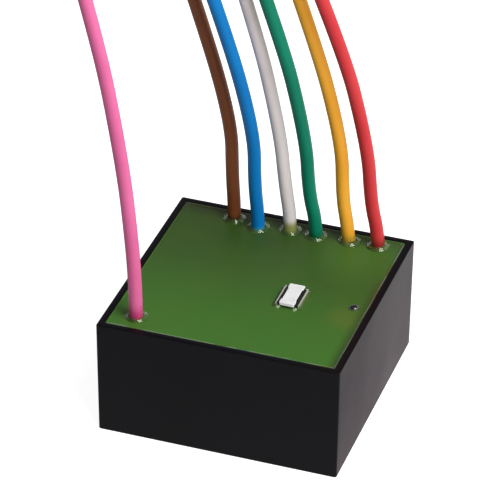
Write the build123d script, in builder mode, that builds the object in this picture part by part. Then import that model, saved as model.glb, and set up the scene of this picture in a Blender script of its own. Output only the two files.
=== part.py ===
from build123d import *
import os
from math import atan, cos, degrees, pi, radians, sin, sqrt, tan

os.makedirs("parts", exist_ok=True)

# A flush-mounted radio receiver: a black potting box closed by a circuit board, with seven
# stiff leads standing on the board, a push button and an indicator. Under the visible control
# board stands a power board with two relays and a small mains supply, all cast in resin.
# Millimetres. Origin: middle of the box's underside. X to the right, Y to the back, Z up.

# Potting box
box_width = 40.0
box_depth = 40.0
box_height = 20.0
wall = 1.2
floor_thick = 1.2
box_corner = 0.35
inside_bevel = 0.2
draft_inset = 0.15
rim_bevel = 0.15
foot_bevel = 0.3

# Units that tie the parts on both boards to the box: a fortieth of its width and its depth
unit_x = box_width / 40
unit_y = box_depth / 40
unit_round = min(unit_x, unit_y)

# Boards and the resin round them
board_drop = 0.25
board_gap = 0.35
board_corner = 0.5
control_board_thick = 1.6
power_board_thick = 1.2
tail_room = 1.6
pin_tail = 1.0
pin_side = 0.6
pin_hole = 1.1
coat_thick = 0.1
resin_gap = 0.05
hole_sides = 6
core_sides = 8
turned_sides = 12

# Leads: solid copper core, insulated, with the resin climbing each foot
lead_diameter = 2.2
core_diameter = 0.98
core_hole = 1.2
lead_sides = 10
stripped_length = 8.0
collar_steps = [(0.6, 0.1), (0.3, 0.25)]
collar_rim = 0.02
solder_foot = 2.4
solder_neck = 1.4
solder_height = 0.8
solder_rim = 0.05

# Push button, lying along Y
button_x = 6.5 * unit_x
button_y = -2.4 * unit_y
button_length = 5.1
button_width = 3.8
button_frame_thick = 0.12
button_frame_height = 0.58
button_frame_bend = 0.07
button_base_width = 3.4
button_base_height = 0.43
button_floor = 0.13
key_thick = 0.2
key_end_width = 2.55
key_waist_width = 2.05
key_waist_length = 3.4
key_plug_length = 3.4
key_plug_width = 1.5
key_overhang = 0.35
key_skirt_thick = 0.3
key_skirt_drop = 0.3
key_clearance = 0.06
key_top_bevel = 0.06
key_waist_bevel = 0.11
key_stop_gap = 0.05
button_travel = 0.15
dome_diameter = 1.4
dome_crown = 0.7
dome_drop = 0.08
dome_thick = 0.06
dome_rim_thick = 0.1
dome_crown_inset = 0.03
dome_play = 0.02
base_corner = 0.3
terminal_width = 0.7
terminal_thick = 0.15
terminal_reach = 0.7
terminal_spacing = 2.7

# Indicator: a smoked lens through the board over a surface-mounted lamp
indicator_x = 16.55 * unit_x
indicator_y = -1.7 * unit_y
lens_diameter = 1.5
lens_rise = 0.5
lens_dome_angles = (0, 35, 65)
lens_clearance = 0.05
led_length = 3.2
led_width = 1.6
led_height = 1.1

# Relay, in its own frame: length along the board's Y, armature on top, contacts to the back
relay_length = 18.0 * unit_y
relay_width = 10.2 * unit_x
relay_headroom = 1.75
relay_wall = 0.6
relay_bevel = 0.4
relay_base_lift = 0.2
relay_base_thick = 1.4
relay_fit = 0.05
yoke_thick = 1.0
yoke_width = 5.4
yoke_end_gap = 0.5
yoke_bend = 0.5
flange_side = 7.0 * unit_round
flange_thick = 0.6
winding_inset = 0.2
former_tube_diameter = 3.9
core_stem_diameter = 2.8
core_head_diameter = 4.6
core_head_thick = 0.6
core_fit = 0.03
armature_thick = 0.8
armature_overhang = 0.6
armature_corner = 1.0
air_gap_closed = 0.03
spring_thick = 0.2
spring_width = 3.0
contact_diameter = 2.0
contact_thick = 0.45
contact_gap = 0.5
contact_inset = 4.4
blade_thick = 0.5
blade_width = 2.4
blade_end_gap = 1.5
stop_side = 1.4
stop_height = 0.43
stop_gap = 0.04
coil_pin_spread = 6.6 * unit_x

# Places on the power board, counted from its edges
edge_margin = 0.45
part_gap = 0.45
can_back_gap = 1.5
lead_row_room = 4.3 * unit_y

# Mains supply
film_length = 13.0 * unit_y
film_width = 5.0 * unit_x
film_headroom = 3.15
film_pitch = 10.0 * unit_y
resistor_length = 7.0 * unit_y
resistor_diameter = 3.2 * unit_x
resistor_cap_diameter = 3.5 * unit_x
resistor_cap_length = 1.4
resistor_lift = 0.3
resistor_bevel = 0.4
lead_bend_reach = 0.9
varistor_diameter = 7.4 * unit_y
varistor_thick = 3.8 * unit_x
varistor_bevel = 0.9
varistor_pitch = 5.0 * unit_y
varistor_offset = 1.3
varistor_leg_inset = 0.6
can_radius = 4.0 * unit_round
can_headroom = 2.15
can_pitch = 3.5 * unit_round
small_can_radius = 3.15 * unit_round
small_can_headroom = 3.15
small_can_pitch = 2.5 * unit_round
can_groove_depth = 0.3
can_groove_foot = 1.3
can_groove_height = 0.6
can_top_bevel = 0.4
box_bevel = 0.5
transformer_core_width = 10.1 * unit_x
transformer_headroom = 3.55
transformer_core_depth = 4.8
transformer_leg = 1.4 * unit_x
transformer_yoke = 1.2
transformer_centre_leg = 2.5 * unit_x
transformer_lift = 1.0
bobbin_wall = 0.6
bobbin_flange_thick = 0.6
bobbin_flange_depth = 10.4 * unit_y
bobbin_rail_depth = 1.6
bobbin_rail_width = 8.6
bobbin_pitch = 3.0
bobbin_clearance = 0.1
coil_clearance = 0.6 * unit_x
tab_thick = 0.25
tab_reach = 0.7

# Surface-mounted packages: width, depth and height, then the tabs on each side
bridge_size = (4.7, 3.9, 2.4)
bridge_tab_count = 2
bridge_tab_pitch = 2.5
bridge_tab_width = 0.6
controller_size = (4.9, 3.9, 1.5)
controller_tab_count = 4
controller_tab_pitch = 1.27
controller_tab_width = 0.45
diode_size = (4.2, 2.6, 2.2)
diode_tab_width = 1.5
regulator_size = (4.5, 2.5, 1.5)
regulator_tab_count = 3
regulator_tab_pitch = 1.5
regulator_tab_width = 0.5
driver_size = (1.3, 2.9, 1.0)
driver_tab_count = 2
driver_tab_pitch = 1.9
driver_tab_width = 0.45
driver_tab_reach = 0.475
package_bevel = 0.2
radio_size = (4.0, 4.0, 0.9)
crystal_size = (3.2, 2.5, 0.8)
processor_size = (5.0, 5.0, 0.9)
hung_bevel = 0.12
chip_capacitor_size = (0.8, 1.6, 0.8)
chip_resistor_size = (0.8, 1.6, 0.55)
chip_pitch = 1.2
chips_in_row = 4
chip_row_gap = 0.5
radio_offset = (4.1, 5.5)
processor_gap = 3.1

# Link between the boards
link_pitch = 2.54
link_pins_count = 5
link_pin_side = 0.64
link_strip_width = 2.5
header_height = 2.5
socket_height = 5.0
link_clearance = 0.05
link_x = -3.4 * unit_x
header_bevel = 0.5

# Feet of the leads on the control board, in the box's units, and the leads' routes as
# (right, back, up) from the foot. The first run stands straight out of the board. From there
# they lean to the left, the more the higher.
feet_in_units = {
    "brown_lead": (-9.75, 16.6),
    "blue_lead": (-5.25, 15.3),
    "white_lead": (-0.05, 16.3),
    "green_lead": (4.45, 16.0),
    "yellow_lead": (10.15, 16.45),
    "red_lead": (14.85, 16.55),
    "antenna_lead": (-14.9, -15.65),
}
lead_routes = {
    "brown_lead": [
        (0, 0, 0), (0, 0, 3), (-0.4, 0.05, 8.2),
        (-0.7, 0.3, 18.6), (-6.8, 0.8, 38.6), (-20.6, 1.5, 78.2),
    ],
    "blue_lead": [
        (0, 0, 0), (0, 0, 3), (-0.6, -0.05, 8.2),
        (-0.7, -0.3, 18.6), (-6.1, -0.8, 38.6), (-20.2, -1.5, 78.3),
    ],
    "white_lead": [
        (0, 0, 0), (0, 0, 3), (-0.9, 0.05, 8.2),
        (-2.1, 0.3, 18.6), (-7, 0.7, 38.6), (-20.5, 1.1, 78.3),
    ],
    "green_lead": [
        (0, 0, 0), (0, 0, 3), (-1.3, -0.05, 8.2),
        (-1.9, -0.3, 18.6), (-6.7, -0.8, 38.6), (-21.5, -1.5, 78.1),
    ],
    "yellow_lead": [
        (0, 0, 0), (0, 0, 3), (-1.3, 0.05, 8.2),
        (-1.9, 0.3, 18.6), (-7.6, 0.9, 38.6), (-23.2, 2.2, 77.6),
    ],
    "red_lead": [
        (0, 0, 0), (0, 0, 3), (-1.4, -0.05, 8.2),
        (-2.2, -0.3, 18.6), (-7.2, -0.8, 38.6), (-24.1, -1.5, 77.3),
    ],
    "antenna_lead": [
        (0, 0, 0), (0, 0, 4.5), (-0.4, -0.1, 13),
        (-1.8, -0.2, 28), (-5.9, -0.5, 52), (-13.9, -0.9, 80.6),
    ],
}
run_share = 0.45
lead_feet = {name: (x * unit_x, y * unit_y) for name, (x, y) in feet_in_units.items()}

# Levels
control_top = box_height - board_drop
control_bottom = control_top - control_board_thick
coat_top = control_top + coat_thick
power_bottom = floor_thick + tail_room
power_top = power_bottom + power_board_thick
tail_end = power_bottom - pin_tail
supply_room = control_bottom - power_top
lead_radius = lead_diameter / 2
draft_angle = degrees(atan(draft_inset / box_height))
corner_growth = 2 - sqrt(2)


def inside(size, height):
    """Clear width of the drafted box at a height, for an outer size at the rim."""
    return size - 2 * wall - 2 * draft_inset * (1 - height / box_height)


def hollow_outline(height):
    """Draw the box's hollow at a height in the current sketch. Its bevels widen with the draft."""
    Rectangle(inside(box_width, height), inside(box_depth, height))
    spread = draft_inset * (height - floor_thick) / box_height
    chamfer(vertices(), inside_bevel + spread * corner_growth)


board_width = inside(box_width, power_bottom) - 2 * board_gap
board_depth = inside(box_depth, power_bottom) - 2 * board_gap


def save(piece, name):
    """Label a finished piece and write it as its own file."""
    piece.part.label = name
    export_step(piece.part, f"parts/{name}.step")


def upright(x, y, z, turn=(1, 0, 0)):
    """Vertical sketch plane through a point: its X along turn, its Y up."""
    along = Vector(*turn)
    return Plane(origin=(x, y, z), x_dir=along, z_dir=along.cross(Vector(0, 0, 1)))


# Potting box: a drafted tub with a flat rim
with BuildPart() as potting_box:
    with BuildSketch():
        Rectangle(box_width - 2 * draft_inset, box_depth - 2 * draft_inset)
        chamfer(vertices(), box_corner)
    extrude(amount=box_height, taper=-draft_angle)
    chamfer(potting_box.faces().sort_by(Axis.Z)[0].edges(), foot_bevel)
    chamfer(potting_box.faces().sort_by(Axis.Z)[-1].edges(), rim_bevel)
    with BuildSketch(Plane.XY.offset(floor_thick)):
        hollow_outline(floor_thick)
    extrude(amount=box_height - floor_thick, taper=-draft_angle, mode=Mode.SUBTRACT)
save(potting_box, "potting_box")

# Layout of the power board. Two relays fill its right half, the mains side its left.
board_right = board_width / 2 - edge_margin
board_left = -board_width / 2 + edge_margin
board_back = board_depth / 2 - lead_row_room
board_front = -board_depth / 2 + edge_margin
relay_x = [
    board_right - relay_width / 2,
    board_right - relay_width * 1.5 - part_gap,
]
relay_y = board_back - relay_length / 2
relay_front = board_back - relay_length
film_x = board_left + film_width / 2
film_y = board_back - film_length / 2
resistor_x = board_left + film_width + part_gap + resistor_cap_diameter / 2
resistor_y = board_back - lead_bend_reach - pin_side - resistor_length / 2
varistor_x = resistor_x + resistor_cap_diameter / 2 + part_gap + varistor_thick / 2
varistor_y = board_back - varistor_diameter / 2
can_x = relay_x[1] - relay_width / 2 - part_gap - can_radius
can_y = varistor_y - varistor_diameter / 2 - can_back_gap - can_radius
driver_x = board_right - driver_size[0] / 2 - tab_reach
transformer_x = driver_x - driver_size[0] / 2 - tab_reach - part_gap - transformer_core_width / 2
transformer_y = board_front + bobbin_flange_depth / 2 + part_gap
small_can_x = transformer_x - transformer_core_width / 2 - part_gap - small_can_radius
small_can_y = relay_front - part_gap - small_can_radius
bridge_x = board_left + bridge_size[0] / 2 + part_gap
bridge_y = film_y - film_length / 2 - part_gap - tab_reach - bridge_size[1] / 2
controller_x = board_left + controller_size[0] / 2 + part_gap
controller_y = bridge_y - bridge_size[1] / 2 - controller_size[1] / 2 - 2 * tab_reach - part_gap
diode_x = can_x
diode_y = can_y - can_radius - part_gap - diode_size[1] / 2
regulator_x = can_x
regulator_y = diode_y - diode_size[1] / 2 - part_gap - regulator_size[1] / 2
driver_y = [transformer_y + driver_size[1] / 2 + part_gap, transformer_y - driver_size[1] / 2 - part_gap]
driver_places = [(driver_x, y) for y in driver_y]
link_y = board_front + link_strip_width / 2
link_pin_x = [link_x + (i - (link_pins_count - 1) / 2) * link_pitch for i in range(link_pins_count)]
link_places = [(x, link_y) for x in link_pin_x]


# Relay levels and places, counted from its seat and along its length. The winding takes the
# height that the case leaves between the yoke's foot and the parts over the pole.
relay_height = supply_room - relay_headroom
relay_base_top = relay_base_lift + relay_base_thick
former_foot = relay_base_top + yoke_thick
over_pole = air_gap_closed + armature_thick + spring_thick + contact_gap + stop_gap + stop_height
pole_level = relay_height - relay_wall - over_pole
former_top = pole_level - core_head_thick
winding_height = former_top - former_foot - 2 * flange_thick
winding_diameter = flange_side - 2 * winding_inset
yoke_back = -relay_length / 2 + relay_wall + yoke_end_gap
coil_at = yoke_back + yoke_thick + core_fit + flange_side / 2
contact_at = relay_length / 2 - contact_inset
armature_length = coil_at + core_head_diameter / 2 + armature_overhang - yoke_back
armature_top = pole_level + air_gap_closed + armature_thick
moving_contact_face = armature_top - contact_thick
blade_at = relay_length / 2 - relay_wall - blade_end_gap
open_angle = degrees(atan(contact_gap / (contact_at - yoke_back)))
common_pin_at = yoke_back + yoke_thick
relay_pins = [
    (coil_at, coil_pin_spread / 2),
    (coil_at, -coil_pin_spread / 2),
    (common_pin_at, 0.0),
    (blade_at, 0.0),
]


def relay_seat(number):
    """Plane of one relay on the power board, its X along the relay's length."""
    return Plane(origin=(relay_x[number - 1], relay_y, power_top), x_dir=(0, 1, 0), z_dir=(0, 0, 1))


def relay_side(seat, height=0.0):
    """Upright plane through the relay's middle: X along its length, Y up."""
    middle = seat.origin + seat.z_dir * height
    return Plane(origin=middle, x_dir=seat.x_dir, z_dir=-seat.y_dir)


relay_seats = [relay_seat(number) for number in (1, 2)]


def relay_case(seat, name):
    """Dust case with a rest stop for the contact spring under its roof."""
    with BuildPart() as case:
        with BuildSketch(seat):
            Rectangle(relay_length, relay_width)
        extrude(amount=relay_height)
        chamfer(case.faces().sort_by(Axis.Z)[-1].edges(), relay_bevel)
        with BuildSketch(seat):
            Rectangle(relay_length - 2 * relay_wall, relay_width - 2 * relay_wall)
        extrude(amount=relay_height - relay_wall, mode=Mode.SUBTRACT)
        spring_top_open = armature_top + spring_thick + contact_gap
        with BuildSketch(seat.offset(spring_top_open + stop_gap)):
            with Locations((contact_at, 0)):
                Rectangle(stop_side, spring_width)
        extrude(amount=stop_height)
    save(case, f"{name}_case")


def relay_yoke(seat, name):
    """L-shaped steel yoke: its upright end carries the hinge, its foot holds the core."""
    with BuildPart() as yoke:
        with BuildSketch(relay_side(seat)):
            with BuildLine():
                Polyline(
                    (yoke_back + yoke_bend, relay_base_top),
                    (coil_at + flange_side / 2, relay_base_top),
                    (coil_at + flange_side / 2, former_foot),
                    (yoke_back + yoke_thick, former_foot),
                    (yoke_back + yoke_thick, pole_level),
                    (yoke_back, pole_level),
                    (yoke_back, relay_base_top + yoke_bend),
                    close=True,
                )
            make_face()
        extrude(amount=yoke_width / 2, both=True)
        with BuildSketch(seat.offset(relay_base_top)):
            with Locations((coil_at, 0)):
                RegularPolygon(core_stem_diameter / 2 + core_fit, turned_sides)
        extrude(amount=yoke_thick, mode=Mode.SUBTRACT)
    save(yoke, f"{name}_yoke")


# Relay bases, cores, coil formers and windings: one of each in both relays
with BuildPart() as relay_bases:
    for seat in relay_seats:
        with BuildSketch(seat.offset(relay_base_lift)):
            Rectangle(
                relay_length - 2 * relay_wall - 2 * relay_fit,
                relay_width - 2 * relay_wall - 2 * relay_fit,
            )
            with Locations(*relay_pins):
                Rectangle(pin_side, pin_side, mode=Mode.SUBTRACT)
        extrude(amount=relay_base_thick)
save(relay_bases, "relay_bases")

with BuildPart() as relay_cores:
    for seat in relay_seats:
        with BuildSketch(seat.offset(relay_base_top)):
            with Locations((coil_at, 0)):
                RegularPolygon(core_stem_diameter / 2, turned_sides)
        extrude(amount=former_top - relay_base_top)
        with BuildSketch(seat.offset(former_top)):
            with Locations((coil_at, 0)):
                RegularPolygon(core_head_diameter / 2, turned_sides)
        extrude(amount=core_head_thick)
save(relay_cores, "relay_cores")

with BuildPart() as relay_coil_formers:
    for seat in relay_seats:
        for level in (former_foot, former_top - flange_thick):
            with BuildSketch(seat.offset(level)):
                with Locations((coil_at, 0)):
                    Rectangle(flange_side, flange_side)
            extrude(amount=flange_thick)
        with BuildSketch(seat.offset(former_foot)):
            with Locations((coil_at, 0)):
                RegularPolygon(former_tube_diameter / 2, turned_sides)
        extrude(amount=former_top - former_foot)
        with BuildSketch(seat.offset(former_foot)):
            with Locations((coil_at, 0)):
                RegularPolygon(core_stem_diameter / 2 + core_fit, turned_sides)
        extrude(amount=former_top - former_foot, mode=Mode.SUBTRACT)
save(relay_coil_formers, "relay_coil_formers")

with BuildPart() as relay_windings:
    for seat in relay_seats:
        with BuildSketch(seat.offset(former_foot + flange_thick)):
            with Locations((coil_at, 0)):
                RegularPolygon(winding_diameter / 2, turned_sides)
                RegularPolygon(former_tube_diameter / 2, turned_sides, mode=Mode.SUBTRACT)
        extrude(amount=winding_height)
save(relay_windings, "relay_windings")


def relay_moving(seat, name):
    """Armature and contact spring, drawn open: swung up about the yoke's outer edge."""
    hinge = relay_side(seat).from_local_coords((yoke_back, pole_level))
    swung = seat.x_dir.rotate(Axis((0, 0, 0), -seat.y_dir), open_angle)
    lifted = Plane(origin=hinge, x_dir=swung, z_dir=-seat.y_dir)

    with BuildPart() as armature:
        with BuildSketch(lifted):
            with Locations((armature_length / 2, air_gap_closed + armature_thick / 2)):
                Rectangle(armature_length, armature_thick)
        extrude(amount=yoke_width / 2, both=True)
        thickness_way = Axis(hinge, lifted.y_dir)
        front_corners = armature.faces().sort_by(Axis.Y)[-1].edges().filter_by(thickness_way)
        chamfer(front_corners, armature_corner)
    save(armature, f"{name}_armature")

    reach = contact_at - yoke_back
    spring_foot = armature_top - pole_level
    with BuildPart() as spring:
        with BuildSketch(lifted):
            with Locations(((reach + contact_diameter) / 2, spring_foot + spring_thick / 2)):
                Rectangle(reach, spring_thick)
        extrude(amount=spring_width / 2, both=True)
        contact_plane = Plane(
            origin=lifted.from_local_coords((reach, spring_foot)),
            x_dir=lifted.x_dir,
            z_dir=-lifted.y_dir,
        )
        with BuildSketch(contact_plane):
            RegularPolygon(contact_diameter / 2, turned_sides)
        extrude(amount=contact_thick)
    save(spring, f"{name}_contact_spring")
    return hinge


def relay_terminals(seat, name):
    """Fixed contact on its blade, with the coil pins and the common pin."""
    blade_top = moving_contact_face - air_gap_closed - contact_thick
    with BuildPart() as terminals:
        with BuildSketch(relay_side(seat)):
            with BuildLine():
                Polyline(
                    (blade_at + blade_thick / 2, relay_base_top),
                    (blade_at + blade_thick / 2, blade_top),
                    (contact_at - contact_diameter / 2, blade_top),
                    (contact_at - contact_diameter / 2, blade_top - blade_thick),
                    (blade_at - blade_thick / 2, blade_top - blade_thick),
                    (blade_at - blade_thick / 2, relay_base_top),
                    close=True,
                )
            make_face()
        extrude(amount=blade_width / 2, both=True)
        with BuildSketch(seat.offset(blade_top)):
            with Locations((contact_at, 0)):
                RegularPolygon(contact_diameter / 2, turned_sides)
        extrude(amount=contact_thick)
        with BuildSketch(seat.offset(tail_end - power_top)):
            with Locations((blade_at, 0), (common_pin_at, 0)):
                Rectangle(pin_side, pin_side)
        extrude(amount=relay_base_top - tail_end + power_top)
        with BuildSketch(seat.offset(tail_end - power_top)):
            with Locations(*relay_pins[:2]):
                Rectangle(pin_side, pin_side)
        extrude(amount=former_foot - tail_end + power_top)
    save(terminals, f"{name}_terminals")


for number, seat in enumerate(relay_seats, start=1):
    name = f"relay_{number}"
    relay_case(seat, name)
    relay_yoke(seat, name)
    hinge = relay_moving(seat, name)
    relay_terminals(seat, name)
    print(name, "hinge", hinge, "axis", seat.y_dir, "opens", round(open_angle, 3), "degrees")


def component_box(name, x, y, z, size, bevel):
    """Moulded box standing on a level, its upright and top edges bevelled."""
    with BuildPart() as body:
        with BuildSketch(Plane.XY.offset(z)):
            with Locations((x, y)):
                Rectangle(size[0], size[1])
        extrude(amount=size[2])
        chamfer(body.edges().filter_by(Axis.Z), bevel)
        chamfer(body.faces().sort_by(Axis.Z)[-1].edges(), bevel / 2)
    save(body, name)


def can_capacitor(name, x, y, radius, height):
    """Aluminium can with its crimped groove above the seal."""
    groove_top = can_groove_foot + can_groove_height
    levels = [
        (0, can_groove_foot, radius),
        (can_groove_foot, groove_top, radius - can_groove_depth),
        (groove_top, height, radius),
    ]
    with BuildPart() as can:
        for foot, top, size in levels:
            with BuildSketch(Plane(origin=(x, y, power_top + foot))):
                RegularPolygon(size, turned_sides)
            extrude(amount=top - foot)
        chamfer(can.faces().sort_by(Axis.Z)[-1].edges(), can_top_bevel)
    save(can, name)


# Mains supply on the power board, its tall parts a headroom lower than the room there is
film_size = (film_width, film_length, supply_room - film_headroom)
can_height = supply_room - can_headroom
small_can_height = supply_room - small_can_headroom
component_box("film_capacitor", film_x, film_y, power_top, film_size, box_bevel)
can_capacitor("input_capacitor", can_x, can_y, can_radius, can_height)
can_capacitor("output_capacitor", small_can_x, small_can_y, small_can_radius, small_can_height)

varistor_z = power_top + varistor_diameter / 2 + resistor_lift
with BuildPart() as varistor:
    disc_plane = Plane(origin=(varistor_x, varistor_y, varistor_z), x_dir=(0, 1, 0), z_dir=(1, 0, 0))
    with BuildSketch(disc_plane):
        RegularPolygon(varistor_diameter / 2, turned_sides)
    extrude(amount=varistor_thick / 2, both=True)
    disc_faces = varistor.faces().sort_by(Axis.X)
    chamfer(disc_faces[0].edges() + disc_faces[-1].edges(), varistor_bevel)
save(varistor, "varistor")

resistor_z = power_top + resistor_lift + resistor_cap_diameter / 2
resistor_front = resistor_y - resistor_length / 2
cap_starts = (resistor_front, resistor_front + resistor_length - resistor_cap_length)
with BuildPart() as fusible_resistor:
    with BuildSketch(Plane(origin=(resistor_x, resistor_front, resistor_z), z_dir=(0, 1, 0))):
        RegularPolygon(resistor_diameter / 2, turned_sides)
    extrude(amount=resistor_length)
    for start in cap_starts:
        with BuildSketch(Plane(origin=(resistor_x, start, resistor_z), z_dir=(0, 1, 0))):
            RegularPolygon(resistor_cap_diameter / 2, turned_sides)
        extrude(amount=resistor_cap_length)
    end_faces = fusible_resistor.faces().sort_by(Axis.Y)
    chamfer(end_faces[0].edges() + end_faces[-1].edges(), resistor_bevel)
save(fusible_resistor, "fusible_resistor")

for name, x, y, size in (
    ("bridge_rectifier", bridge_x, bridge_y, bridge_size),
    ("supply_controller", controller_x, controller_y, controller_size),
    ("rectifier_diode", diode_x, diode_y, diode_size),
    ("voltage_regulator", regulator_x, regulator_y, regulator_size),
):
    component_box(name, x, y, power_top + tab_thick, size, package_bevel)

with BuildPart() as relay_drivers:
    with BuildSketch(Plane.XY.offset(power_top + tab_thick)):
        with Locations(*driver_places):
            Rectangle(driver_size[0], driver_size[1])
    extrude(amount=driver_size[2])
save(relay_drivers, "relay_drivers")

# Transformer: closed core, former with its pin rails, and the winding between its flanges
core_foot = power_top + transformer_lift
transformer_core_height = supply_room - transformer_lift - transformer_headroom
core_window = transformer_core_height - 2 * transformer_yoke
window_foot = core_foot + transformer_yoke
with BuildPart() as transformer_core:
    with BuildSketch(upright(transformer_x, transformer_y, core_foot)):
        with Locations((0, transformer_core_height / 2)):
            Rectangle(transformer_core_width, transformer_core_height)
            Rectangle(transformer_core_width - 2 * transformer_leg, core_window, mode=Mode.SUBTRACT)
            Rectangle(transformer_centre_leg, core_window)
    extrude(amount=transformer_core_depth / 2, both=True)
save(transformer_core, "transformer_core")

tube_width = transformer_centre_leg + 2 * (bobbin_clearance + bobbin_wall)
tube_depth = transformer_core_depth + 2 * (bobbin_clearance + bobbin_wall)
flange_width = transformer_core_width - 2 * transformer_leg - 2 * bobbin_clearance
coil_build = (transformer_core_width - tube_width) / 2 - transformer_leg - coil_clearance
bobbin_foot = window_foot + bobbin_clearance
bobbin_height = core_window - 2 * bobbin_clearance
rail_y = bobbin_flange_depth / 2 - bobbin_rail_depth / 2
with BuildPart() as transformer_bobbin:
    for level in (bobbin_foot, bobbin_foot + bobbin_height - bobbin_flange_thick):
        with BuildSketch(Plane.XY.offset(level)):
            with Locations((transformer_x, transformer_y)):
                Rectangle(flange_width, bobbin_flange_depth)
        extrude(amount=bobbin_flange_thick)
    with BuildSketch(Plane.XY.offset(bobbin_foot)):
        with Locations((transformer_x, transformer_y)):
            Rectangle(tube_width, tube_depth)
    extrude(amount=bobbin_height)
    with BuildSketch(Plane.XY.offset(power_top)):
        with Locations((transformer_x, transformer_y + rail_y), (transformer_x, transformer_y - rail_y)):
            Rectangle(bobbin_rail_width, bobbin_rail_depth)
    extrude(amount=bobbin_foot + bobbin_flange_thick - power_top)
    with BuildSketch(Plane.XY.offset(bobbin_foot)):
        with Locations((transformer_x, transformer_y)):
            Rectangle(
                transformer_centre_leg + 2 * bobbin_clearance,
                transformer_core_depth + 2 * bobbin_clearance,
            )
    extrude(amount=bobbin_height, mode=Mode.SUBTRACT)
save(transformer_bobbin, "transformer_bobbin")

with BuildPart() as transformer_winding:
    with BuildSketch(Plane.XY.offset(bobbin_foot + bobbin_flange_thick)):
        with Locations((transformer_x, transformer_y)):
            RectangleRounded(tube_width + 2 * coil_build, tube_depth + 2 * coil_build, coil_build)
            Rectangle(tube_width, tube_depth, mode=Mode.SUBTRACT)
    extrude(amount=bobbin_height - 2 * bobbin_flange_thick)
save(transformer_winding, "transformer_winding")

# Wire legs of the power board's components: straight pins, and the resistor's bent pair
transformer_pins = [
    (transformer_x + side * bobbin_pitch, transformer_y + end * rail_y)
    for side in (-1, 0, 1)
    for end in (-1, 1)
]
straight_pins = {
    power_top: [
        (film_x, film_y - film_pitch / 2),
        (film_x, film_y + film_pitch / 2),
        (can_x - can_pitch / 2, can_y),
        (can_x + can_pitch / 2, can_y),
        (small_can_x - small_can_pitch / 2, small_can_y),
        (small_can_x + small_can_pitch / 2, small_can_y),
        *transformer_pins,
    ],
    varistor_z - varistor_pitch / 2: [
        (varistor_x - varistor_offset, varistor_y - varistor_pitch / 2 + varistor_leg_inset),
        (varistor_x + varistor_offset, varistor_y + varistor_pitch / 2 - varistor_leg_inset),
    ],
}
resistor_pins = [
    (resistor_x, resistor_front - lead_bend_reach),
    (resistor_x, resistor_front + resistor_length + lead_bend_reach),
]
with BuildPart() as component_legs:
    for level, places in straight_pins.items():
        with BuildSketch(Plane.XY.offset(tail_end)):
            with Locations(*places):
                Rectangle(pin_side, pin_side)
        extrude(amount=level - tail_end)
    with BuildSketch(Plane.XY.offset(tail_end)):
        with Locations(*resistor_pins):
            Rectangle(pin_side, pin_side)
    extrude(amount=resistor_z + pin_side / 2 - tail_end)
    for (x, y), way in zip(resistor_pins, (1, -1)):
        with BuildSketch(Plane.XY.offset(resistor_z - pin_side / 2)):
            with Locations((x, y + way * lead_bend_reach / 2)):
                Rectangle(pin_side, lead_bend_reach)
        extrude(amount=pin_side)
    add(varistor.part, mode=Mode.SUBTRACT)
save(component_legs, "component_legs")

# Flat terminals of the surface-mounted parts, lying on the board under each body's edge
with BuildPart() as chip_terminals:
    with BuildSketch(Plane.XY.offset(power_top)):
        with Locations((bridge_x, bridge_y)):
            with GridLocations(bridge_tab_pitch, bridge_size[1], bridge_tab_count, 2):
                Rectangle(bridge_tab_width, 2 * tab_reach)
        with Locations((controller_x, controller_y)):
            with GridLocations(controller_tab_pitch, controller_size[1], controller_tab_count, 2):
                Rectangle(controller_tab_width, 2 * tab_reach)
        with Locations((diode_x, diode_y)):
            with GridLocations(diode_size[0], diode_size[1], 2, 1):
                Rectangle(2 * tab_reach, diode_tab_width)
        with Locations((regulator_x, regulator_y - regulator_size[1] / 2)):
            with GridLocations(regulator_tab_pitch, regulator_size[1], regulator_tab_count, 1):
                Rectangle(regulator_tab_width, 2 * tab_reach)
        with Locations(*driver_places):
            with GridLocations(driver_size[0], driver_tab_pitch, 2, driver_tab_count):
                Rectangle(2 * driver_tab_reach, driver_tab_width)
    extrude(amount=tab_thick)
save(chip_terminals, "chip_terminals")

# Plug and socket that join the two boards
link_length = link_pins_count * link_pitch
socket_foot = control_bottom - socket_height
with BuildPart() as link_header:
    with BuildSketch(Plane.XY.offset(power_top)):
        with Locations((link_x, link_y)):
            Rectangle(link_length, link_strip_width)
        with Locations(*link_places):
            Rectangle(link_pin_side, link_pin_side, mode=Mode.SUBTRACT)
    extrude(amount=header_height)
    header_corners = link_header.edges().filter_by(Axis.Z).group_by(Axis.X)
    chamfer(header_corners[0] + header_corners[-1], header_bevel)
save(link_header, "link_header")

with BuildPart() as link_pins:
    with BuildSketch(Plane.XY.offset(tail_end)):
        with Locations(*link_places):
            Rectangle(link_pin_side, link_pin_side)
    extrude(amount=control_bottom - link_pin_side - tail_end)
save(link_pins, "link_pins")

with BuildPart() as link_socket:
    with BuildSketch(Plane.XY.offset(socket_foot)):
        with Locations((link_x, link_y)):
            Rectangle(link_length, link_strip_width)
        with Locations(*link_places):
            socket_bore = link_pin_side + 2 * link_clearance
            Rectangle(socket_bore, socket_bore, mode=Mode.SUBTRACT)
    extrude(amount=socket_height)
save(link_socket, "link_socket")

# Boards, drilled for every lead and leg that passes
lead_places = list(lead_feet.values())
mains_places = [place for name, place in lead_feet.items() if name != "antenna_lead"]
antenna_place = lead_feet["antenna_lead"]
relay_pin_places = []
for seat in relay_seats:
    for pin in relay_pins:
        spot = seat.from_local_coords(pin)
        relay_pin_places.append((spot.X, spot.Y))
leg_places = [place for places in straight_pins.values() for place in places] + resistor_pins

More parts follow.
